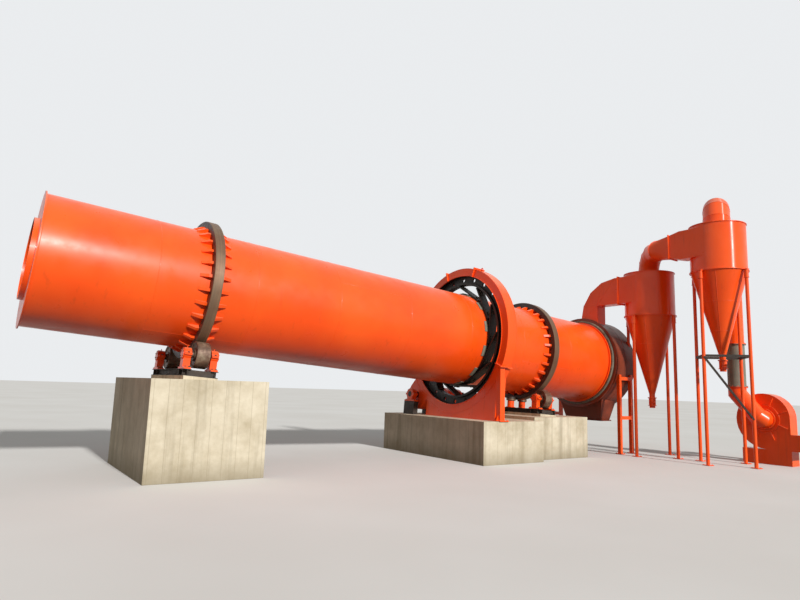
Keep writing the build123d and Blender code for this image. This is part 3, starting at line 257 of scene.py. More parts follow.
def machine_enamel(name, light, deep, dust, flat, gloss=0.34, drawn_out=0.0):
    """Alkyd machine enamel, sprayed over primer: even and glossy, with soft waves of the plate under it, a
    few thin runs of dirt, chips in a few places, and dust where it lies flat. Fine level waves of the paint
    on an upright barrel can draw a reflection out to a tall streak."""
    tree, shader, place = new_material(name)
    paint = patches(tree, place, 1.8, [(0.36, linear(deep)), (0.62, linear(light))])
    dirt = runs(tree, place, 0.11, 1.4, [(0.60, 0.0), (0.78, 0.25)])
    chips = patches(tree, place, 0.04, [(0.70, 0.0), (0.72, 0.7)], 5, 0.7)
    worn = patches(tree, place, 0.8, [(0.55, 0.0), (0.68, 1.0)], 2)
    bare = add_node(tree, "ShaderNodeMath", {"operation": "MULTIPLY"}, {0: chips, 1: worn})
    for mask, over in ((dirt, "#8A3414"), (bare, "#6E4A38"), (lying_dust(tree, place, *flat), dust)):
        paint = add_node(tree, "ShaderNodeMix", COLOURS, {0: mask, 6: paint, 7: linear(over)}, 2)
    rough = patches(tree, place, 0.3, [(0.3, gloss - 0.07), (0.7, gloss + 0.09)])
    waves = patches(tree, place, 0.8, [(0.2, 0.0), (0.8, 1.0)], 1)
    dress(tree, shader, paint, rough, (waves, 0.12, 0.02),
          {"Specular IOR Level": 0.35 + 0.2 * drawn_out, "Anisotropic": drawn_out,
           "Anisotropic Rotation": 0.25, "Coat Weight": 0.12, "Coat Roughness": 0.12})


def rolled_steel(name, tread, side, sizes):
    """Forged ring steel, turned and then rolled by its rollers: the tread is worn brown-grey with fine lines
    round it, and the sides stay nearly black with scale and old grease."""
    tree, shader, place = new_material(name)
    level = add_node(tree, "ShaderNodeMapping", {}, {"Vector": place, "Location": (0, 0, -sizes.axis_height)})
    turned = add_node(tree, "ShaderNodeMapping", {}, {"Vector": level, "Rotation": (0, -sizes.slope, 0)})
    across = add_node(tree, "ShaderNodeVectorMath", {"operation": "MULTIPLY"}, {0: turned, 1: (0, 1, 1)})
    distance = add_node(tree, "ShaderNodeVectorMath", {"operation": "LENGTH"}, {0: across}, "Value")
    edge = sizes.ring_radius - 0.012
    worn = add_node(tree, "ShaderNodeMapRange", {},
                    {"Value": distance, "From Min": edge, "From Max": edge + 0.008})
    # The turned lines are about 1 mm apart on the real tread and 8 mm here, or they would not show
    drawn = add_node(tree, "ShaderNodeMapping", {}, {"Vector": turned, "Scale": (125, 0.6, 0.6)})
    lines = patches(tree, drawn, 1.0, [(0.3, 0.0), (0.7, 1.0)], 3)
    face = add_node(tree, "ShaderNodeMix", COLOURS, {0: lines, 6: linear("#5E4E40"), 7: linear(tread)}, 2)
    stains = patches(tree, place, 0.45, [(0.42, 0.0), (0.7, 0.7)], 6)
    face = add_node(tree, "ShaderNodeMix", COLOURS, {0: stains, 6: face, 7: linear("#6B4530")}, 2)
    grime = patches(tree, place, 0.17, [(0.35, linear(side)), (0.75, linear("#3E3026"))], 6, 0.65)
    paint = add_node(tree, "ShaderNodeMix", COLOURS, {0: worn, 6: grime, 7: face}, 2)
    rough = patches(tree, place, 0.12, [(0.3, 0.38), (0.7, 0.58)])
    shine = add_node(tree, "ShaderNodeMath", {"operation": "MULTIPLY"}, {0: worn, 1: 0.5})
    dress(tree, shader, paint, rough, (lines, 0.12, 0.002), {"Metallic": shine})


def roller_steel(name, tread, side):
    """Cast roller steel: browned and dull at its ends, rubbed brighter in patches on the tread."""
    tree, shader, place = new_material(name)
    stops = [(0.3, linear(side)), (0.5, linear("#6B5140")), (0.72, linear(tread))]
    paint = patches(tree, place, 0.14, stops, 6, 0.65)
    rough = patches(tree, place, 0.045, [(0.3, 0.36), (0.7, 0.6)])
    grain = patches(tree, place, 0.011, [(0.3, 0.0), (0.7, 1.0)])
    dress(tree, shader, paint, rough, (grain, 0.3, 0.002), {"Metallic": 0.35})


def dark_metal(name, low, high, metallic, roughness, size):
    """Primed or greased steel: patchy and nearly black, with a soft shine where grease lies."""
    tree, shader, place = new_material(name)
    paint = patches(tree, place, size, [(0.34, linear(low)), (0.7, linear(high))], 7, 0.65)
    rough = patches(tree, place, size / 3, [(0.3, roughness - 0.12), (0.7, roughness + 0.12)])
    scale = patches(tree, place, 0.014, [(0.3, 0.0), (0.7, 1.0)])
    dress(tree, shader, paint, rough, (scale, 0.3, 0.003), {"Metallic": metallic})


def primed_plate(name, primer):
    """Grey primed plate left unpainted: matt, with rain streaks down it and brown where rust starts."""
    tree, shader, place = new_material(name)
    paint = patches(tree, place, 0.33, [(0.3, linear("#6C685A")), (0.7, linear(primer))], 6)
    streaks = runs(tree, place, 0.06, 0.9, [(0.55, 0.0), (0.8, 0.6)])
    rust = patches(tree, place, 0.11, [(0.62, 0.0), (0.72, 0.8)], 7, 0.7)
    cover = lying_dust(tree, place, 0.4, 1.0, 0.6)
    for mask, over in ((streaks, "#4E463A"), (rust, "#7A4A2C"), (cover, "#B5A68A")):
        paint = add_node(tree, "ShaderNodeMix", COLOURS, {0: mask, 6: paint, 7: linear(over)}, 2)
    rough = patches(tree, place, 0.08, [(0.3, 0.6), (0.7, 0.75)], 3)
    grain = patches(tree, place, 0.016, [(0.3, 0.0), (0.7, 1.0)], 5)
    dress(tree, shader, paint, rough, (grain, 0.25, 0.002), {"Metallic": 0.1})


def cast_concrete(name, light, dark):
    """Concrete cast against upright boards 250 mm wide: pale, mottled and pitted, with a fine ridge at each
    board's edge, rain stains running down and a foot that is darker towards the ground."""
    tree, shader, place = new_material(name)
    paint = patches(tree, place, 0.7, [(0.32, linear(dark)), (0.66, linear(light))], 8, 0.7)
    streaks = runs(tree, place, 0.16, 2.8, [(0.5, 0.0), (0.78, 0.6)])
    height = add_node(tree, "ShaderNodeSeparateXYZ", {}, {"Vector": place}, "Z")
    # Darker towards the ground over the lowest 0.4 m
    foot = add_node(tree, "ShaderNodeMapRange", {},
                    {"Value": height, "From Min": 0.4, "From Max": 0.0, "To Max": 0.6})
    # Half a board's width folds each axis, so a ridge comes four times to the metre along X and along Y
    ridges = []
    for axis in ("X", "Y"):
        across = add_node(tree, "ShaderNodeSeparateXYZ", {}, {"Vector": place}, axis)
        board = add_node(tree, "ShaderNodeMath", {"operation": "PINGPONG"}, {0: across, 1: 0.125})
        ridges.append(add_node(tree, "ShaderNodeMapRange", {},
                               {"Value": board, "From Min": 0.008, "From Max": 0.0, "To Max": 1.0}))
    ridge = add_node(tree, "ShaderNodeMath", {"operation": "MAXIMUM"}, {0: ridges[0], 1: ridges[1]})
    line = add_node(tree, "ShaderNodeMath", {"operation": "MULTIPLY"}, {0: ridge, 1: 0.45})
    for mask, over in ((streaks, "#857860"), (foot, "#75684F"), (line, "#8C7D62")):
        paint = add_node(tree, "ShaderNodeMix", COLOURS, {0: mask, 6: paint, 7: linear(over)}, 2)
    pits = patches(tree, place, 0.026, [(0.3, 0.0), (0.42, 1.0)], 6, 0.7)
    surface = add_node(tree, "ShaderNodeMath", {"operation": "ADD"}, {0: ridge, 1: pits})
    dress(tree, shader, paint, 0.92, (surface, 0.35, 0.006), {})


def make_finishes(sizes, finishes):
    """All materials, by the name each one is known by."""
    light, deep, dust = finishes.enamel_light, finishes.enamel_deep, finishes.dust
    machine_enamel("orange_alkyd_enamel", light, deep, dust, (0.55, 1.0, 0.5))
    machine_enamel("orange_enamel_dust_topped", light, deep, dust, (0.90, 0.985, 0.8))
    machine_enamel("orange_enamel_on_barrels", light, deep, dust, (0.55, 1.0, 0.5), 0.36, 1.0)
    # The hood and chute enamel and the dust on it are painted darker than the rest: painted shade
    machine_enamel("orange_enamel_dull", finishes.hood_enamel_painted_shade, finishes.hood_enamel_painted_shade_deep, "#5A523E",
                   (0.2, 0.9, 0.9), 0.5)
    machine_enamel("blue_grey_motor_enamel", finishes.motor, "#435964", "#A89A84", (0.4, 1.0, 0.6), 0.42)
    rolled_steel("forged_ring_steel", finishes.ring_tread, finishes.ring_side, sizes)
    roller_steel("cast_roller_steel", "#94826C", "#3A2C22")
    dark_metal("greased_gear_steel", finishes.gear, "#2C251F", 0.3, 0.55, 0.11)
    dark_metal("primed_frame_steel", "#241D17", "#40352B", 0.1, 0.7, 0.2)
    dark_metal("worn_flight_steel", "#4A3B2E", "#7A6654", 0.6, 0.5, 0.17)
    dark_metal("black_steel_fasteners", "#3A3128", "#6A5D4C", 0.5, 0.5, 0.07)
    primed_plate("grey_primed_plate", finishes.primer)
    cast_concrete("board_marked_concrete", finishes.concrete_light, finishes.concrete_dark)


SLOT_FINISH = {
    "orange_shell": "orange_enamel_dust_topped",
    "orange_paint": "orange_alkyd_enamel",
    "ring_steel": "forged_ring_steel",
    "gear_steel": "greased_gear_steel",
    "grey_steel": "grey_primed_plate",
    "dark_steel": "primed_frame_steel",
    "worn_steel": "worn_flight_steel",
    "motor_paint": "blue_grey_motor_enamel",
    "concrete": "board_marked_concrete",
}

# Nodes whose finish differs from the rest of their slot
NODE_FINISH = {
    # The hood and chute get the darkened enamel, a painted shade
    "discharge_hood": "orange_enamel_dull",
    "discharge_chute": "orange_enamel_dull",
    "cyclone_1_barrel": "orange_enamel_on_barrels",
    "cyclone_2_barrel": "orange_enamel_on_barrels",
    "return_bend": "orange_enamel_on_barrels",
    "fan_housing": "orange_enamel_dust_topped",
}


def finish(name):
    """A material by its name."""
    material = bpy.data.materials.get(name)
    if material is None:
        raise RuntimeError(f"the finish {name} isn't made yet: run the finishes first")
    return material


def clear_selection():
    """Ends edit mode and deselects everything, so that an operator acts on the new piece alone."""
    if bpy.context.object and bpy.context.object.mode != "OBJECT":
        bpy.ops.object.mode_set(mode="OBJECT")
    bpy.ops.object.select_all(action="DESELECT")


def only(piece):
    """Selects one piece alone and makes it active."""
    clear_selection()
    piece.select_set(True)
    bpy.context.view_layer.objects.active = piece
    return piece


def modify(piece, kind, **settings):
    """Puts a modifier on a piece and applies it."""
    only(piece)
    modifier = piece.modifiers.new(kind, kind)
    for name, value in settings.items():
        setattr(modifier, name, value)
    bpy.ops.object.modifier_apply(modifier=modifier.name)
    return piece


def chamfered(piece, width, angle=35):
    """A piece with its sharp edges broken."""
    return modify(piece, "BEVEL", width=width, segments=1, limit_method="ANGLE",
                  angle_limit=math.radians(angle))


def edit_faces(piece, wanted):
    """Opens a piece in edit mode with the faces selected for which wanted(face) holds."""
    only(piece)
    bpy.ops.object.mode_set(mode="EDIT")
    bpy.ops.mesh.select_mode(type="FACE")
    bpy.ops.mesh.select_all(action="DESELECT")
    bpy.ops.object.mode_set(mode="OBJECT")
    for face in piece.data.polygons:
        face.select = wanted(face)
    bpy.ops.object.mode_set(mode="EDIT")
    return piece


def band(inside, height, width, sides=96, edge=0.002):
    """A flat ring about Z with a rectangular section and broken edges."""
    clear_selection()
    bpy.ops.mesh.primitive_cylinder_add(vertices=sides, radius=inside, depth=width, end_fill_type="NOTHING")
    ring = bpy.context.active_object
    modify(ring, "SOLIDIFY", thickness=height, offset=1)
    return chamfered(ring, edge)


def weld_bead(radius, size, sides=96):
    """A low rounded weld bead round a pipe about Z."""
    return band(radius, size, 2.4 * size, sides, 0.45 * size)


def straight_bead(reach, size):
    """A weld bead along Z with tapered ends."""
    clear_selection()
    bpy.ops.mesh.primitive_cylinder_add(vertices=6, radius=size, depth=reach)
    return chamfered(bpy.context.active_object, 0.6 * size, 60)


def plate(low, high, edge=0.003):
    """A plate between two corners with broken edges."""
    clear_selection()
    bpy.ops.mesh.primitive_cube_add(size=1, location=[(a + b) / 2 for a, b in zip(low, high)],
                                    scale=[b - a for a, b in zip(low, high)])
    piece = bpy.context.active_object
    bpy.ops.object.transform_apply(location=True, rotation=True, scale=True)
    return chamfered(piece, edge)


def rod(radius, low, high, sides=32, edge=0.003):
    """A round bar along Z from low to high with broken edges."""
    clear_selection()
    bpy.ops.mesh.primitive_cylinder_add(vertices=sides, radius=radius, depth=high - low,
                                        location=(0, 0, (low + high) / 2))
    piece = bpy.context.active_object
    bpy.ops.object.transform_apply(location=True, rotation=True, scale=True)
    return chamfered(piece, edge)


def joined(*pieces):
    """Several pieces made one."""
    clear_selection()
    for piece in pieces:
        piece.select_set(True)
    bpy.context.view_layer.objects.active = pieces[0]
    if len(pieces) > 1:
        bpy.ops.object.join()
    return bpy.context.active_object


def moved(piece, place):
    """A piece with its mesh moved to its place, its object left at the origin."""
    piece.data.transform(place)
    piece.data.update()
    return piece


def repeated(piece, places):
    """Copies of a piece at every place, each copy with its own mesh, joined to one."""
    copies = []
    for place in places:
        copy = piece.copy()
        copy.data = piece.data.copy()
        bpy.context.collection.objects.link(copy)
        copies.append(moved(copy, place))
    bpy.data.objects.remove(piece)
    return joined(*copies)


def hexagon_bolt(thread):
    """A hexagon bolt head on its washer, standing up from Z = 0, with the end of its thread above."""
    clear_selection()
    bpy.ops.mesh.primitive_cylinder_add(vertices=6, radius=0.92 * thread, depth=0.7 * thread,
                                        location=(0, 0, 0.47 * thread))
    head = bpy.context.active_object
    bpy.ops.object.transform_apply(location=True, rotation=True, scale=True)
    edit_faces(head, lambda face: face.normal.z > 0.9)
    bpy.ops.mesh.inset(thickness=0.14 * thread, depth=0.1 * thread)
    bpy.ops.mesh.inset(thickness=0.3 * thread)
    bpy.ops.mesh.extrude_region_move(TRANSFORM_OT_translate={"value": (0, 0, 0.22 * thread)})
    clear_selection()
    bpy.ops.mesh.primitive_cylinder_add(vertices=12, radius=1.2 * thread, depth=0.16 * thread,
                                        location=(0, 0, 0.06 * thread))
    washer = bpy.context.active_object
    bpy.ops.object.transform_apply(location=True, rotation=True, scale=True)
    edit_faces(washer, lambda face: face.normal.z > 0.9)
    bpy.ops.mesh.inset(thickness=0.08 * thread, depth=0.04 * thread)
    return joined(head, washer)


def spun_bar(radial, axial, radius, first, sweep, steps):
    """A bar of rectangular section swept about Z from one angle, with closed ends."""
    clear_selection()
    bpy.ops.mesh.primitive_plane_add(size=1)
    bar = bpy.context.active_object
    middle = radius + radial / 2
    moved(bar, shift(middle) @ Matrix.Diagonal((radial, 1, axial, 1)) @ turn_by(90, "X"))
    moved(bar, turn_by(first))
    only(bar)
    bpy.ops.object.mode_set(mode="EDIT")
    bpy.ops.mesh.select_all(action="SELECT")
    bpy.ops.mesh.spin(steps=steps, angle=math.radians(sweep), center=(0, 0, 0), axis=(0, 0, 1))
    bpy.ops.mesh.select_all(action="SELECT")
    bpy.ops.mesh.remove_doubles(threshold=0.00005)
    bpy.ops.mesh.normals_make_consistent(inside=False)
    clear_selection()
    return chamfered(bar, 0.0015, 50)


def keep(piece, name, body=PLANT, material="orange_alkyd_enamel", smooth=32):
    """Names a finished piece, gives it its material and sets it on its body."""
    only(piece)
    bpy.ops.object.transform_apply(location=True, rotation=True, scale=True)
    bpy.ops.object.shade_smooth_by_angle(angle=math.radians(smooth))
    piece.name = name
    piece.data.name = name
    piece.data.materials.clear()
    piece.data.materials.append(finish(material))
    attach(piece, body)
    return piece


def shift(x=0.0, y=0.0, z=0.0):
    """A place away from the origin."""
    return Matrix.Translation((x, y, z))


def turn_by(degrees, axis="Z"):
    """A turn about an axis."""
    return Matrix.Rotation(math.radians(degrees), 4, axis)


def facing(at, direction):
    """A place at a point, its Z along a direction."""
    return Matrix.Translation(at) @ Vector(direction).to_track_quat("Z", "Y").to_matrix().to_4x4()


def tilted(sizes):
    """The drum's tilted frame: X along the axis, Y across, Z up from it."""
    return shift(z=sizes.axis_height) @ Matrix.Rotation(sizes.slope, 4, "Y")


def on_drum(sizes, along, direction=(1, 0, 0)):
    """A place on the drum's tilted axis, its Z along a direction of the drum's own frame."""
    return tilted(sizes) @ facing((along, 0, 0), direction)


def around(place, radius, count, first=0.0):
    """Places spread evenly round a place's Z."""
    return [place @ turn_by(first + 360 * number / count) @ shift(radius) for number in range(count)]


def mitre(at, before, after, radius):
    """A place that sets a round bead of radius 1 on the mitred joint of two pipe runs."""
    before, after = before.normalized(), after.normalized()
    normal = (before + after).normalized()
    across = after - before
    if across.length < 1e-6:
        return facing(at, normal) @ Matrix.Diagonal((radius, radius, radius, 1))
    across.normalize()
    stretch = 1 / normal.dot(before)
    columns = (across * radius * stretch, normal.cross(across) * radius, normal * radius)
    return Matrix.Translation(at) @ Matrix(columns).transposed().to_4x4()


def bend_corners(centre, radial, rise, radius, sweep, gores):
    """Corners of a mitred bend that starts upright and turns away from radial."""
    step = math.radians(sweep) / gores
    corner = radius / math.cos(step / 2)
    found = []
    for gore in range(gores):
        turn = step * (gore + 0.5)
        out, up = corner * math.cos(turn), corner * math.sin(turn)
        found.append(Vector((centre[0] + radial[0] * out, centre[1] + radial[1] * out, rise + up)))
    return found


def pipe_seams(points, radius, size):
    """Weld beads on the mitred joints of a pipe through points."""
    places = [mitre(at, at - before, after - at, radius)
              for before, at, after in zip(points, points[1:], points[2:])]
    return repeated(weld_bead(1.0, size / radius, 48), places)


def stations(sizes):
    """The riding rings' names and their places along the drum's axis."""
    return ("feed", 0.0), ("discharge", sizes.ring_spacing)


def cyclone_levels(cyclone):
    """Heights of a cyclone's rim flange and of its roof."""
    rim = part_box(f"cyclone_{cyclone + 1}_barrel")[0].z
    return rim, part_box(f"cyclone_{cyclone + 1}_roof")[1].z


def inlet_top(cyclone):
    """Height of the upper side of a cyclone's inlet."""
    return cyclone_levels(cyclone)[0] + BARREL_HEIGHT - INLET_DROP


def second_inlet_face(sizes):
    """Where the second cyclone's inlet begins, across the plant."""
    return CYCLONE_Y[1] + sizes.cyclone_radius + INLET_REACH


def crossover_points(sizes):
    """Corners of the round part of the duct between the cyclones."""
    taper, bend = 0.43, 0.56
    height = inlet_top(1) - INLET_HEIGHT / 2
    end = Vector((sizes.cyclone_x - sizes.cyclone_radius + INLET_WIDTH / 2, second_inlet_face(sizes) + taper))
    start = Vector((sizes.cyclone_x, CYCLONE_Y[0]))
    heading = (end - start).normalized()
    corners = bend_corners(start + heading * bend, -heading, height - bend, bend, 90, GORES)
    return [Vector((*start, cyclone_levels(0)[1])), *corners, Vector((*end, height))]


def return_points(sizes):
    """Corners of the bend on the second cyclone, and the bend's radius."""
    roof = cyclone_levels(1)[1]
    roof_edge, clearance, straight = 0.014, 0.021, 0.06
    bend = (sizes.cyclone_radius + roof_edge + sizes.return_radius + clearance) / 2
    bearing = math.radians(26.5)
    heading = Vector((math.cos(bearing), math.sin(bearing)))
    start = Vector((sizes.cyclone_x, CYCLONE_Y[1]))
    corners = bend_corners(start + heading * bend, -heading, roof + straight, bend, 180, GORES + 2)
    over = start + heading * 2 * bend
    return [Vector((*start, roof)), *corners, Vector((*over, roof))], bend


def downcomer_axis(sizes):
    """Where the downcomer stands."""
    reach = 2 * return_points(sizes)[1]
    bearing = math.radians(9)
    return sizes.cyclone_x + reach * math.cos(bearing), CYCLONE_Y[1] + reach * math.sin(bearing)


class DryerPiece:
    """What the operators of the pieces share."""

    bl_options = {"REGISTER", "UNDO"}

    def execute(self, context):
        self.make(context.scene.dryer_sizes)
        return {"FINISHED"}


class DRYER_OT_finishes(bpy.types.Operator):
    """Make the finishes and dress the frame's nodes in them"""

    bl_idname = "dryer.finishes"
    bl_label = "Finishes"

    def execute(self, context):
        make_finishes(context.scene.dryer_sizes, context.scene.dryer_finishes)
        for row in frame["record"]["subparts"]:
            thing = frame["nodes"][row["node"]]
            thing.data.materials.clear()
            name = SLOT_FINISH[row["material_slot"]]
            thing.data.materials.append(finish(NODE_FINISH.get(row["node"], name)))
        return {"FINISHED"}


class DRYER_OT_shell_seams(DryerPiece, bpy.types.Operator):
    """Weld beads round and along the drum where its plates meet"""

    bl_idname = "dryer.shell_seams"
    bl_label = "Shell seams"

    def make(self, sizes):
        count, first_turn, turn_between = 8, 100, 137
        plate_length = (sizes.discharge_end - sizes.feed_end) / count
        size = sizes.weld_size
        sunk = sizes.shell_radius - size / 2
        ends = [sizes.feed_end + plate_length * number for number in range(1, count)]
        round_seams = repeated(weld_bead(sunk, size, 144), [on_drum(sizes, at) for at in ends])
        end_seam = moved(weld_bead(sunk, 1.4 * size, 144), on_drum(sizes, sizes.feed_end + 0.002))
        places = [on_drum(sizes, sizes.feed_end + plate_length * (number + 0.5))
                  @ turn_by(first_turn + turn_between * number) @ shift(sunk) for number in range(count)]
        long_seams = repeated(straight_bead(plate_length - 0.02, size), places)
        keep(joined(round_seams, end_seam, long_seams), "shell_weld_seams", DRUM,
             smooth=60)


class DRYER_OT_riding_rings(DryerPiece, bpy.types.Operator):
    """Riding rings with their edges broken and rolled over"""

    bl_idname = "dryer.riding_rings"
    bl_label = "Riding rings"

    def make(self, sizes):
        height = sizes.ring_radius - sizes.ring_seat
        for name, station in stations(sizes):
            ring = band(sizes.ring_seat, height, sizes.ring_width, 180, 0.009)
            moved(ring, on_drum(sizes, station))
            keep(ring, f"rolled_ring_{name}", DRUM, "forged_ring_steel")
            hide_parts(f"riding_ring_{name}")


class DRYER_OT_gear_bolts(DryerPiece, bpy.types.Operator):
    """Bolts that hold the girth gear to its spring plates, and the feet of the plates on the shell"""

    bl_idname = "dryer.gear_bolts"
    bl_label = "Gear bolts"

    def make(self, sizes):
        seat = sizes.shell_radius + FIT_GAP
        pad, spring = 0.03, 0.022
        places = []
        for number in range(SPRING_PLATES):
            turn = tilted(sizes) @ Matrix.Rotation(2 * math.pi * number / SPRING_PLATES, 4, "X")
            places += [turn @ shift(sizes.gear_station + along, across, seat + pad + spring)
                       for across, along in product((-0.02, 0.04, 0.62, 0.70), (-0.045, 0.045))]
        keep(repeated(hexagon_bolt(0.024), places), "gear_plate_bolts", DRUM, "black_steel_fasteners")
        start = tilted(sizes) @ shift(sizes.gear_station - 0.17) @ ACROSS_AND_UP
        foot = spun_bar(0.018, 0.1, seat, -6.5, 13, 8)
        keep(repeated(foot, around(start, 0.0, SPRING_PLATES)), "spring_plate_feet", DRUM,
             "grey_primed_plate")


class DRYER_OT_support_rollers(DryerPiece, bpy.types.Operator):
    """Support rollers with dished ends, hubs and shafts"""

    bl_idname = "dryer.support_rollers"
    bl_label = "Support rollers"

    def make(self, sizes):
        half_shaft = 0.3135
        # The rim, the step down to the dished web, the web and the step up to the hub
        steps = ((0.035, 0.0), (0.012, -0.022), (0.085, 0.0), (0.008, 0.026))
        for (name, station), (side, sign) in product(stations(sizes), (("near", -1), ("far", 1))):
            clear_selection()
            bpy.ops.mesh.primitive_cylinder_add(vertices=72, radius=sizes.roller_radius,
                                                depth=sizes.roller_width)
            roller = bpy.context.active_object
            edit_faces(roller, lambda face: abs(face.normal.z) > 0.9)
            for thickness, depth in steps:
                bpy.ops.mesh.inset(thickness=thickness, depth=depth, use_individual=True)
            clear_selection()
            chamfered(roller, 0.006, 50)
            whole = joined(roller, rod(0.06, -half_shaft, half_shaft, 40, 0.004))
            at = (station, sign * sizes.roller_side, -sizes.roller_drop)
            moved(whole, tilted(sizes) @ facing(at, (1, 0, 0)))
            body = f"support_roller_{name}_{side}"
            keep(whole, f"dished_roller_{name}_{side}", body, "cast_roller_steel")
            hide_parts(body)


class DRYER_OT_roller_bearings(DryerPiece, bpy.types.Operator):
    """Covers, cap bolts and foot bolts of the roller bearings, and the bolts that hold their frames down"""

    bl_idname = "dryer.roller_bearings"
    bl_label = "Roller bearings"

    def make(self, sizes):
        base_top = -sizes.roller_drop - 0.28
        for name, station in stations(sizes):
            caps, feet, covers, small, greasers = [], [], [], [], []
            for side, end in product(BOTH, BOTH):
                at = Vector((station + BEARING_SPAN * end, side * sizes.roller_side, -sizes.roller_drop))
                for across in BOTH:
                    caps.append(Matrix.Translation(at + Vector((0, 0.134 * across, 0.0207))))
                    feet += [shift(at.x + along, at.y + 0.155 * across, base_top + 0.035)
                             for along in (-0.035, 0.035)]
                cover = facing(at + Vector((0.0655 * end, 0, 0)), (end, 0, 0))
                covers.append(cover)
                small += around(cover @ shift(z=0.016), 0.083, 6, 30)
                greasers.append(Matrix.Translation(at + Vector((0, 0, 0.117))))
            bolts = repeated(hexagon_bolt(0.02), caps + feet)
            screws = repeated(hexagon_bolt(0.01), small)
            keep(moved(joined(bolts, screws), tilted(sizes)), f"bearing_bolts_{name}", PLANT,
                 "black_steel_fasteners")
            lids = repeated(rod(0.1, 0.0, 0.016, 40), covers)
            nipples = repeated(rod(0.009, 0.0, 0.03, 8, 0.002), greasers)
            keep(moved(joined(lids, nipples), tilted(sizes)), f"bearing_covers_{name}")
            self.hold_down(sizes, name, station, base_top)

    def hold_down(self, sizes, name, station, base_top):
        """Anchor bolts and their clips along the foot of one roller frame."""
        foot_level = base_top - 0.125 + 0.012
        places = [shift(station + BEARING_SPAN * end + along, across, foot_level)
                  for across, end, along in product((-1.1, -0.55, 0.0, 0.55, 1.1), BOTH, (-0.038, 0.038))]
        bolts = repeated(hexagon_bolt(0.02), places)
        ribs = []
        for side, end, across in product(BOTH, BOTH, (-0.12, 0.12)):
            x, y = station + BEARING_SPAN * end, side * sizes.roller_side + across
            for inner, outer in ((0.006, 0.062), (-0.062, -0.006)):
                ribs.append(plate((x + inner, y - 0.006, base_top - 0.113),
                                  (x + outer, y + 0.006, base_top - 0.012)))
        keep(moved(joined(bolts, *ribs), tilted(sizes)), f"frame_ribs_{name}", PLANT, "primed_frame_steel")


class DRYER_OT_gear_guard(DryerPiece, bpy.types.Operator):
    """Rolled lips, joint bolts and lifting eyes of the gear guard, and the bolts of its post"""

    bl_idname = "dryer.gear_guard"
    bl_label = "Gear guard"

    def make(self, sizes):
        half, radius = sizes.guard_width / 2, sizes.guard_radius
        about = tilted(sizes) @ shift(sizes.gear_station)
        rims = []
        for side in BOTH:
            lip = band(sizes.guard_opening, 0.008, 0.02, 144, 0.0015)
            rims.append(moved(lip, on_drum(sizes, sizes.gear_station) @ shift(z=side * (half + 0.0095))))
            edge = spun_bar(0.012, 0.014, radius - 0.009, -20, 230.5, 110)
            rims.append(moved(edge, about @ ACROSS_AND_UP @ shift(z=side * (half + 0.0005))))
        keep(joined(*rims), "guard_rolled_lips", smooth=40)
        bolt_out = 0.022
        spots = [(side * (half + bolt_out), out) for side in BOTH for out in (1.78, 1.86, 1.935)]
        spots += [(along, radius + bolt_out) for along in (-0.1, 0.0, 0.1)]
        places = [about @ turn_by(angle, "X") @ facing((along, out, 0.012 * face), (0, 0, face))
                  for angle, (along, out), face in product(GUARD_JOINTS, spots, BOTH)]
        low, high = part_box("gear_guard_post")
        places += [shift(x, y, low.z + 0.02) for x in (low.x + 0.03, high.x - 0.03)
                   for y in (low.y + 0.03, high.y - 0.03)]
        keep(repeated(hexagon_bolt(0.016), places), "guard_bolts")
        ring = moved(band(0.022, 0.022, 0.016, 24), shift(y=0.038))
        stem = plate((-0.03, -0.012, -0.008), (0.03, 0.02, 0.008), 0.002)
        crown = about @ turn_by(110.5, "X") @ shift(y=radius + 0.006) @ turn_by(90, "Y")
        keep(moved(joined(ring, stem), crown), "guard_lifting_eye")


class DRYER_OT_drive(DryerPiece, bpy.types.Operator):
    """Bolts, ribs and covers of the drive behind the guard, and the motor's fins and fan cowl"""

    bl_idname = "dryer.drive"
    bl_label = "Drive"

    def make(self, sizes):
        # The pinion's axis lies as far across as it lies under the drum's
        station, across, up = sizes.gear_station, 1.5245, -1.5245
        reducer_start, reducer_length, motor_across, motor_start = 0.78, 0.56, 0.45, 0.23
        bolts = []
        for end, side in product(BOTH, BOTH):
            at = Vector((station + 0.33 * end, across + side * 0.17, up))
            bolts.append(Matrix.Translation(at + Vector((0, 0, 0.0263))))
            bolts += [Matrix.Translation(at + Vector((along, side * 0.02, -0.2 + 0.035)))
                      for along in (-0.045, 0.045)]
        bolts += [shift(station + along, across + side, up + 0.02)
                  for side, along in product((-0.25, 0.18, 0.6), (0.84, 1.06, 1.28))]
        keep(moved(repeated(hexagon_bolt(0.02), bolts), tilted(sizes)), "drive_bolts", PLANT,
             "black_steel_fasteners")
        ribs = [plate((station + along - 0.008, across - 0.262, up - 0.33),
                      (station + along + 0.008, across - 0.2, up - 0.02)) for along in (0.86, 1.06, 1.26)]
        first, last = station + reducer_start, station + reducer_start + reducer_length
        ribs.append(moved(rod(0.13, 0.0, 0.02, 40), facing((last, across, up), (1, 0, 0))))
        ribs.append(moved(rod(0.17, -0.018, 0.0, 40), facing((first, across + motor_across, up), (1, 0, 0))))
        keep(moved(joined(*ribs), tilted(sizes)), "reducer_ribs")
        place = tilted(sizes) @ facing((last + motor_start, across + motor_across, up), (1, 0, 0))
        keep(moved(motor_trim(0.19, 0.602), place), "drive_motor_fins", PLANT, "blue_grey_motor_enamel")


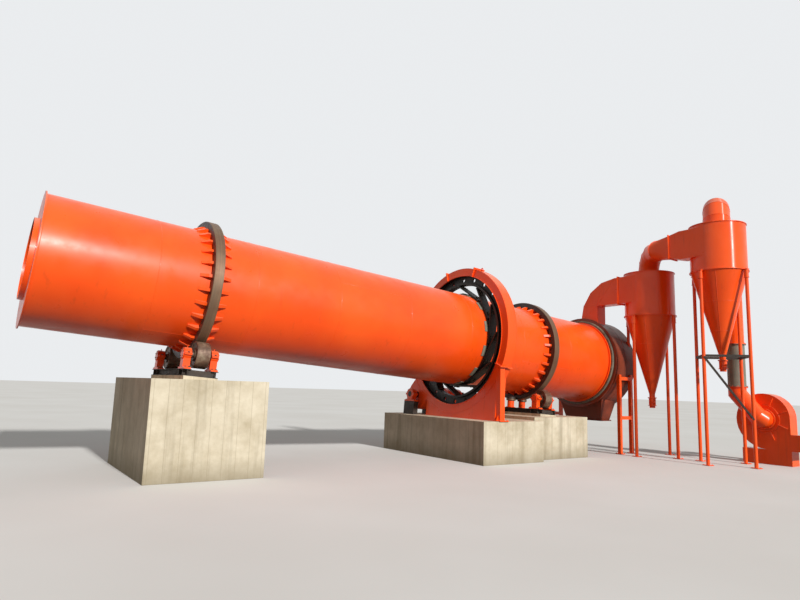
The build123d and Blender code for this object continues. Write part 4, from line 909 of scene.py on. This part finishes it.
def motor_trim(radius, reach):
    """Cooling fins and the fan cowl of a motor along Z from its drive end."""
    fin = plate((radius - 0.004, -0.0025, 0.09 * reach), (radius + 0.013, 0.0025, 0.86 * reach), 0.001)
    # No fins on the sides where the terminal box and the feet are
    angles = [angle for angle in range(0, 360, 10) if 20 <= angle % 180 <= 160]
    fins = repeated(fin, [turn_by(angle) for angle in angles])
    flange = moved(rod(radius + 0.012, 0.0, 0.016, 48), shift(z=-0.001))
    cowl = moved(band(0.92 * radius - 0.002, 0.006, 0.14 * reach, 48), shift(z=1.08 * reach))
    slots = [moved(band(part * radius, 0.008, 0.004, 40, 0.001), shift(z=1.155 * reach))
             for part in (0.2, 0.34, 0.48, 0.62, 0.76)]
    return joined(fins, flange, cowl, *slots)


class DRYER_OT_hood(DryerPiece, bpy.types.Operator):
    """Rim, seams and bolts of the discharge hood, its seal, chute and stand"""

    bl_idname = "dryer.hood"
    bl_label = "Hood"

    def make(self, sizes):
        start, radius, hood_length = sizes.hood_start, sizes.hood_radius, 0.95
        edge = moved(band(radius - 0.001, 0.022, 0.012, 128), on_drum(sizes, start + 0.006))
        beads = repeated(weld_bead(radius - 0.002, sizes.weld_size, 128),
                         [on_drum(sizes, start + at) for at in (hood_length / 2, hood_length - 0.004)])
        keep(joined(edge, beads), "hood_rims", material="orange_enamel_dull", smooth=45)
        bolts = around(on_drum(sizes, start - 0.055, (-1, 0, 0)), 1.283, 36)
        keep(repeated(hexagon_bolt(0.014), bolts), "seal_bolts", PLANT, "black_steel_fasteners")
        clamp = moved(band(1.262, 0.046, 0.008, 128, 0.0015), on_drum(sizes, start - 0.0585))
        keep(clamp, "seal_clamp_ring", PLANT, "grey_primed_plate", 45)
        low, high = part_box("discharge_chute")
        middle = (low.x + high.x) / 2
        across, along = [side / 2 + 0.024 for side in sizes.chute_mouth]
        spots = [(side * across, along * part / 4) for side in BOTH for part in range(-4, 5)]
        spots += [(across * part / 2, side * along) for side in BOTH for part in (-1, 0, 1)]
        bolts = [shift(middle + x, y, low.z + 0.02) for x, y in spots]
        low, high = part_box("hood_stand")
        middle = (low.x + high.x) / 2
        corners = (-0.075, 0.075)
        bolts += [shift(middle + end + x, side * (radius - 0.05) + y, 0.016)
                  for end, side, x, y in product((-0.28, 0.28), BOTH, corners, corners)]
        keep(repeated(hexagon_bolt(0.016), bolts), "hood_bolts", material="orange_enamel_dull")


def frame_flange(low, high, thick, proud):
    """A rectangular angle flange round a duct whose section lies between two corners, square to Y."""
    bars = []
    for i, j in ((0, 2), (2, 0)):
        for side in (0, 1):
            a, b = list(low), list(high)
            edge = (low, high)[side][i]
            a[i], b[i] = (edge - proud, edge + 0.001) if side == 0 else (edge - 0.001, edge + proud)
            if i == 0:
                a[j], b[j] = a[j] - proud, b[j] + proud
            a[1], b[1] = a[1] - thick / 2, b[1] + thick / 2
            bars.append(plate(a, b, 0.002))
    return joined(*bars)


class DRYER_OT_ducts(DryerPiece, bpy.types.Operator):
    """Weld seams, flanges and bolts of the ducts"""

    bl_idname = "dryer.ducts"
    bl_label = "Ducts"

    def make(self, sizes):
        size = sizes.weld_size
        x0 = sizes.cyclone_x - sizes.cyclone_radius
        x1 = x0 + INLET_WIDTH
        top, bend, far, near = inlet_top(0), 1.25, -0.04, -0.65
        inner = Vector((near, top - INLET_HEIGHT))
        corners = []
        beads = []
        for gore in range(GORES + 1):
            turn = math.radians(90 * gore / GORES)
            outer = Vector((far - bend + bend * math.cos(turn), top - bend + bend * math.sin(turn)))
            corners.append(outer)
            span, middle = outer - inner, (outer + inner) / 2
            beads += [moved(straight_bead(span.length, size),
                            facing((x, middle.x, middle.y), (0, span.x, span.y))) for x in (x0, x1)]
        beads += [moved(straight_bead(x1 - x0, size), facing(((x0 + x1) / 2, *corner), (1, 0, 0)))
                  for corner in (*corners, inner)]
        beads.append(frame_flange((x0, -1.40, inner.y), (x1, -1.40, top), *DUCT_FLANGE))
        y, middle, half = second_inlet_face(sizes), inlet_top(1) - INLET_HEIGHT / 2, 0.32
        beads.append(frame_flange((x0, y, middle - half), (x1, y, middle + half), *DUCT_FLANGE))
        keep(joined(*beads), "duct_flanges_and_seams", smooth=45)
        points = crossover_points(sizes)
        inside = sizes.outlet_radius - 0.001
        seams = pipe_seams(points, sizes.outlet_radius, size)
        collar = moved(band(inside, 0.036, 0.018, 56), Matrix.Translation(points[0]) @ shift(z=0.0095))
        joint = moved(band(inside, 0.016, 0.014, 56), facing(points[-1], points[-1] - points[-2]))
        keep(joined(seams, collar, joint), "crossover_collars", smooth=45)
        self.downcomer(sizes, size, points[0])

    def downcomer(self, sizes, size, first_outlet):
        """Collars and flanges of the return bend and of the pipe down to the fan, with all collars' bolts."""
        points, _ = return_points(sizes)
        # The two highest joints are ground flush
        middle = len(points) // 2
        rings = [pipe_seams(run, sizes.return_radius, size) for run in (points[:middle], points[middle:])]
        roof = points[0]
        x, y = downcomer_axis(sizes)
        wide, narrow = sizes.return_radius, sizes.downcomer_radius
        rings += [moved(band(wide - 0.001, 0.036, 0.018, 64), Matrix.Translation(roof) @ shift(z=0.0095)),
                  moved(weld_bead(wide - 0.002, size, 48), Matrix.Translation(points[-1])),
                  moved(weld_bead(narrow - 0.002, size, 48), shift(x, y, roof.z - 0.9))]
        # Two flanges meet at each end of the bare pipe, one on it and one on its neighbour
        low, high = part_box("bare_downcomer")
        beside, bare = [[shift(x, y, high.z + way * 0.0105), shift(x, y, low.z - way * 0.0105)]
                        for way in (1, -1)]
        rings.append(repeated(band(narrow - 0.001, 0.04, 0.02, 56), beside))
        keep(joined(*rings), "return_bend_collars", smooth=45)
        keep(repeated(band(narrow - 0.001, 0.04, 0.02, 56), bare), "bare_pipe_flanges", PLANT,
             "grey_primed_plate", 45)
        places = []
        for outlet, radius, count in ((first_outlet, sizes.outlet_radius, 16), (roof, wide, 18)):
            places += around(Matrix.Translation(outlet) @ shift(z=0.0185), radius + 0.019, count)
        for level, way in product((high.z, low.z), (1, -1)):
            places += around(facing((x, y, level + way * 0.0205), (0, 0, way)), narrow + 0.021, 12)
        keep(repeated(hexagon_bolt(0.012), places), "collar_bolts")


class DRYER_OT_cyclones(DryerPiece, bpy.types.Operator):
    """Rim bolts, weld seams, roof rims and dust valves of the cyclones"""

    bl_idname = "dryer.cyclones"
    bl_label = "Cyclones"

    def make(self, sizes):
        radius, tip, cone = sizes.cyclone_radius, 0.08, sizes.cone_height
        size = 0.8 * sizes.weld_size
        slant = math.atan2(radius - tip, cone)
        for number, y in enumerate(CYCLONE_Y):
            rim, roof = cyclone_levels(number)
            middle = shift(sizes.cyclone_x, y)
            trims = [moved(band(radius + 0.0141, 0.004, 0.022, 96, 0.001), middle @ shift(z=roof - 0.006))]
            for part in (0.36, 0.7):
                bead = weld_bead(radius + (tip - radius) * part - 0.001, size, 72)
                trims.append(moved(bead, middle @ shift(z=rim - 0.012 - cone * part)))
            for turn in (200, 20):
                lean = turn_by(turn) @ shift((radius + tip) / 2, 0, rim - cone / 2)
                lean = lean @ Matrix.Rotation(slant, 4, "Y")
                trims.append(moved(straight_bead(cone / math.cos(slant) - 0.06, size), middle @ lean))
            upright = turn_by(232) @ shift(radius, 0, rim + 0.65)
            trims.append(moved(straight_bead(1.2, size), middle @ upright))
            keep(joined(*trims), f"cyclone_{number + 1}_seams", smooth=45)
            bolts = around(middle @ shift(z=rim + 0.012), radius + 0.018, 36, 5)
            bolts += around(middle @ facing((0, 0, rim - 0.012), (0, 0, -1)), radius + 0.018, 36, 5)
            keep(repeated(hexagon_bolt(0.01), bolts), f"cyclone_{number + 1}_rim_bolts")
            self.dust_valve(sizes, number, y, rim)

    def dust_valve(self, sizes, number, y, rim):
        """The flanged flap valve on a cyclone's spout, with its short pivot lever and round weight."""
        bore = 0.0805
        tip = rim - sizes.cone_height - sizes.spout_length
        middle = shift(sizes.cyclone_x, y, tip)
        rings = repeated(band(bore, 0.042, 0.014, 32),
                         [middle @ shift(z=level) for level in (0.285, 0.3, 0.07)])
        body = moved(band(bore, 0.016, 0.2, 32, 0.004), middle @ shift(z=0.177))
        pivot = moved(rod(0.012, -0.115, 0.115, 16, 0.002), middle @ facing((0, 0, 0.16), (1, 0, 0)))
        x = sizes.cyclone_x - 0.108
        lever = plate((x - 0.005, y - 0.13, tip + 0.15), (x + 0.005, y + 0.015, tip + 0.17), 0.002)
        weight = moved(rod(0.032, -0.016, 0.016, 24), facing((x, y - 0.13, tip + 0.16), (1, 0, 0)))
        keep(joined(rings, body, pivot, lever, weight), f"dust_valve_{number + 1}")


class DRYER_OT_legs(DryerPiece, bpy.types.Operator):
    """Sleeves at the heads of the cyclones' legs, foot bolts, and the slanting ties of the second cyclone"""

    bl_idname = "dryer.legs"
    bl_label = "Cyclone legs"

    def make(self, sizes):
        sleeves, bolts = [], []
        corners = (-0.07, 0.07)
        for (number, y), quarter in product(enumerate(CYCLONE_Y), range(4)):
            rim = cyclone_levels(number)[0]
            turn = shift(sizes.cyclone_x, y) @ turn_by(90 * quarter - LEG_BEARINGS[number])
            sleeves.append(turn @ shift(LEG_CIRCLE, 0, rim - 0.16))
            # The legs beside the hood stand without bolts
            if abs((turn @ Vector((LEG_CIRCLE, 0, 0))).y) > sizes.hood_radius:
                bolts += [turn @ shift(LEG_CIRCLE + x, across, 0.016)
                          for x, across in product(corners, corners)]
        sleeve = joined(band(0.0455, 0.009, 0.16, 24), moved(band(0.0455, 0.022, 0.014, 24), shift(z=-0.08)))
        keep(joined(repeated(sleeve, sleeves), repeated(hexagon_bolt(0.014), bolts)), "leg_sleeves")
        self.ties(sizes)

    def ties(self, sizes):
        """Two slanting flat bars from one leg to the next on the near side of the second cyclone."""
        ends = []
        for quarter, height in ((2, 2.8), (3, 1.2)):
            angle = math.radians(90 * quarter - LEG_BEARINGS[1])
            ends.append(Vector((sizes.cyclone_x + LEG_CIRCLE * math.cos(angle),
                                CYCLONE_Y[1] + LEG_CIRCLE * math.sin(angle), height)))
        first, second = ends
        span = second - first
        bar = plate((-0.02, -0.006, -span.length / 2), (0.02, 0.006, span.length / 2), 0.002)
        across = span.cross(Vector((0, 0, 1))).normalized()
        rise = span.normalized().cross(across)
        turn = Matrix((rise, across, span.normalized())).transposed().to_4x4()
        places = [Matrix.Translation((first + second) / 2 + across * side * 0.052) @ turn for side in BOTH]
        keep(repeated(bar, places), "leg_ties", PLANT, "primed_frame_steel")


class DRYER_OT_fan(DryerPiece, bpy.types.Operator):
    """Flanges, ribs and bolts of the fan and the fins of its motor"""

    bl_idname = "dryer.fan"
    bl_label = "Fan"

    def make(self, sizes):
        low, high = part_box("fan_housing")
        fan_x, fan_y, height, half = (low.x + high.x) / 2, -4.5, 1.2, 0.21
        outlet_y, outlet_low, outlet_height = -5.536, height - 0.81, 0.43
        motor_radius, motor_length = 0.18, 0.56
        trims = []
        for side, opening in ((-1, 0.33), (1, 0.12)):
            face = facing((fan_x + side * (half + 0.006), fan_y, height), (side, 0, 0))
            trims.append(moved(band(opening, 0.05, 0.014, 56), face))
            place = facing((fan_x + side * (half - 0.001), fan_y, height), (side, 0, 0))
            for turn in range(8):
                rib = plate((0.36, -0.006, 0.0), (0.6, 0.006, 0.03), 0.002)
                trims.append(moved(rib, place @ turn_by(22.5 + 45 * turn)))
        inlet = band(sizes.downcomer_radius - 0.001, 0.05, 0.02, 56)
        trims.append(moved(inlet, facing((fan_x - half - 0.03, fan_y, height), (1, 0, 0))))
        trims.append(frame_flange((low.x, outlet_y, outlet_low),
                                  (high.x, outlet_y, outlet_low + outlet_height), 0.022, 0.036))
        keep(joined(*trims), "fan_ribs_and_flanges", smooth=45)
        bolts = around(facing((fan_x - half - 0.041, fan_y, height), (-1, 0, 0)),
                       sizes.downcomer_radius + 0.026, 12)
        keep(repeated(hexagon_bolt(0.012), bolts), "fan_bolts")
        place = facing((fan_x + half + 0.6 * motor_radius, fan_y, height), (1, 0, 0))
        keep(moved(motor_trim(motor_radius, motor_length), place), "fan_motor_fins", PLANT,
             "blue_grey_motor_enamel")


class DRYER_OT_stage(bpy.types.Operator):
    """Camera at the photographer's place, a pale floor, an even sky and one high lamp"""

    bl_idname = "dryer.stage"
    bl_label = "Stage"

    def execute(self, context):
        settings = context.scene.dryer_stage
        self.place_camera(settings)
        clear_selection()
        bpy.ops.mesh.primitive_plane_add(size=400, location=(6, 0, -0.002))
        floor = bpy.context.active_object
        bpy.ops.object.transform_apply(location=True, rotation=True, scale=True)
        floor.name = "floor"
        self.pale_ground()
        floor.data.materials.append(finish("pale_floor"))
        self.light_sky(context, settings.sky_strength)
        bpy.ops.object.light_add(type="SUN", location=(0, 0, 20))
        lamp = bpy.context.active_object
        lamp.name = "high_lamp"
        lamp.data.energy = settings.sun_energy
        lamp.data.angle = math.radians(4)
        lamp.rotation_euler = Vector(settings.sun_towards).to_track_quat("Z", "Y").to_euler()
        context.scene.view_settings.view_transform = "Standard"
        return {"FINISHED"}

    def seen(self, tree):
        """1 where the camera sees a thing itself or through a gloss, 0 where it only lights other things."""
        rays = [add_node(tree, "ShaderNodeLightPath", output=name)
                for name in ("Is Camera Ray", "Is Glossy Ray", "Is Transmission Ray")]
        either = add_node(tree, "ShaderNodeMath", {"operation": "MAXIMUM"}, {0: rays[0], 1: rays[1]})
        return add_node(tree, "ShaderNodeMath", {"operation": "MAXIMUM"}, {0: either, 1: rays[2]})

    def pale_ground(self):
        """A pale, faintly clouded floor that throws back as little light as earth does."""
        tree, shader, place = new_material("pale_floor")
        shade = patches(tree, place, 5.0, [(0.3, linear("#D6D3CD")), (0.7, linear("#DDDBD6"))], 3)
        paint = add_node(tree, "ShaderNodeMix", COLOURS,
                         {0: self.seen(tree), 6: linear("#6A625A"), 7: shade}, 2)
        feed(tree, shader, {"Base Color": paint, "Roughness": 0.9, "Specular IOR Level": 0.0})

    def light_sky(self, context, strength):
        """An even sky that is seen paler than it lights."""
        world = bpy.data.worlds.new("sky")
        context.scene.world = world
        world.use_nodes = True
        tree = world.node_tree
        power = add_node(tree, "ShaderNodeMapRange", {},
                         {"Value": self.seen(tree), "To Min": strength, "To Max": 0.86})
        feed(tree, tree.nodes["Background"], {"Color": (0.96, 0.98, 1, 1), "Strength": power})

    def place_camera(self, settings):
        """Stands the camera at the photographer's place."""
        yaw, pitch, roll = settings.camera_yaw, settings.camera_pitch, settings.camera_roll
        ahead = Vector((math.sin(yaw) * math.cos(pitch), math.cos(yaw) * math.cos(pitch), math.sin(pitch)))
        right = Vector((math.cos(yaw), -math.sin(yaw), 0))
        up = right.cross(ahead)
        level_right = right * math.cos(roll) + up * math.sin(roll)
        level_up = up * math.cos(roll) - right * math.sin(roll)
        turn = Matrix((level_right, level_up, -ahead)).transposed().to_4x4()
        bpy.ops.object.camera_add()
        camera = bpy.context.active_object
        camera.name = "camera"
        camera.data.lens = settings.camera_lens
        camera.data.clip_end = 500
        camera.matrix_world = Matrix.Translation(settings.camera_place) @ turn
        bpy.context.scene.camera = camera


PIECES = (
    DRYER_OT_finishes, DRYER_OT_shell_seams, DRYER_OT_riding_rings, DRYER_OT_gear_bolts,
    DRYER_OT_support_rollers, DRYER_OT_roller_bearings, DRYER_OT_gear_guard, DRYER_OT_drive, DRYER_OT_hood,
    DRYER_OT_ducts, DRYER_OT_cyclones, DRYER_OT_legs, DRYER_OT_fan, DRYER_OT_stage,
)


class DRYER_PT_pieces(bpy.types.Panel):
    """The dryer's pieces, in the order they are made"""

    bl_idname = "DRYER_PT_pieces"
    bl_label = "Rotary drum dryer"
    bl_space_type = "VIEW_3D"
    bl_region_type = "UI"
    bl_category = "Dryer"

    def draw(self, context):
        column = self.layout.column()
        for operator in PIECES:
            column.operator(operator.bl_idname)
        for group in (context.scene.dryer_sizes, context.scene.dryer_finishes, context.scene.dryer_stage):
            box = self.layout.box()
            for name in group.__annotations__:
                box.prop(group, name)


CLASSES = (DryerSizes, DryerFinishes, StageSettings, *PIECES, DRYER_PT_pieces)


def register():
    """Makes the add-on's classes and settings known to Blender."""
    for made in CLASSES:
        bpy.utils.register_class(made)
    bpy.types.Scene.dryer_sizes = bpy.props.PointerProperty(type=DryerSizes)
    bpy.types.Scene.dryer_finishes = bpy.props.PointerProperty(type=DryerFinishes)
    bpy.types.Scene.dryer_stage = bpy.props.PointerProperty(type=StageSettings)


def unregister():
    """Takes the add-on's settings and classes back out."""
    del bpy.types.Scene.dryer_stage
    del bpy.types.Scene.dryer_finishes
    del bpy.types.Scene.dryer_sizes
    for made in reversed(CLASSES):
        bpy.utils.unregister_class(made)


def main():
    """Makes every piece in order."""
    register()
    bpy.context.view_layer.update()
    for operator in PIECES:
        category, name = operator.bl_idname.split(".")
        getattr(getattr(bpy.ops, category), name)()


if __name__ == "__main__":
    main()
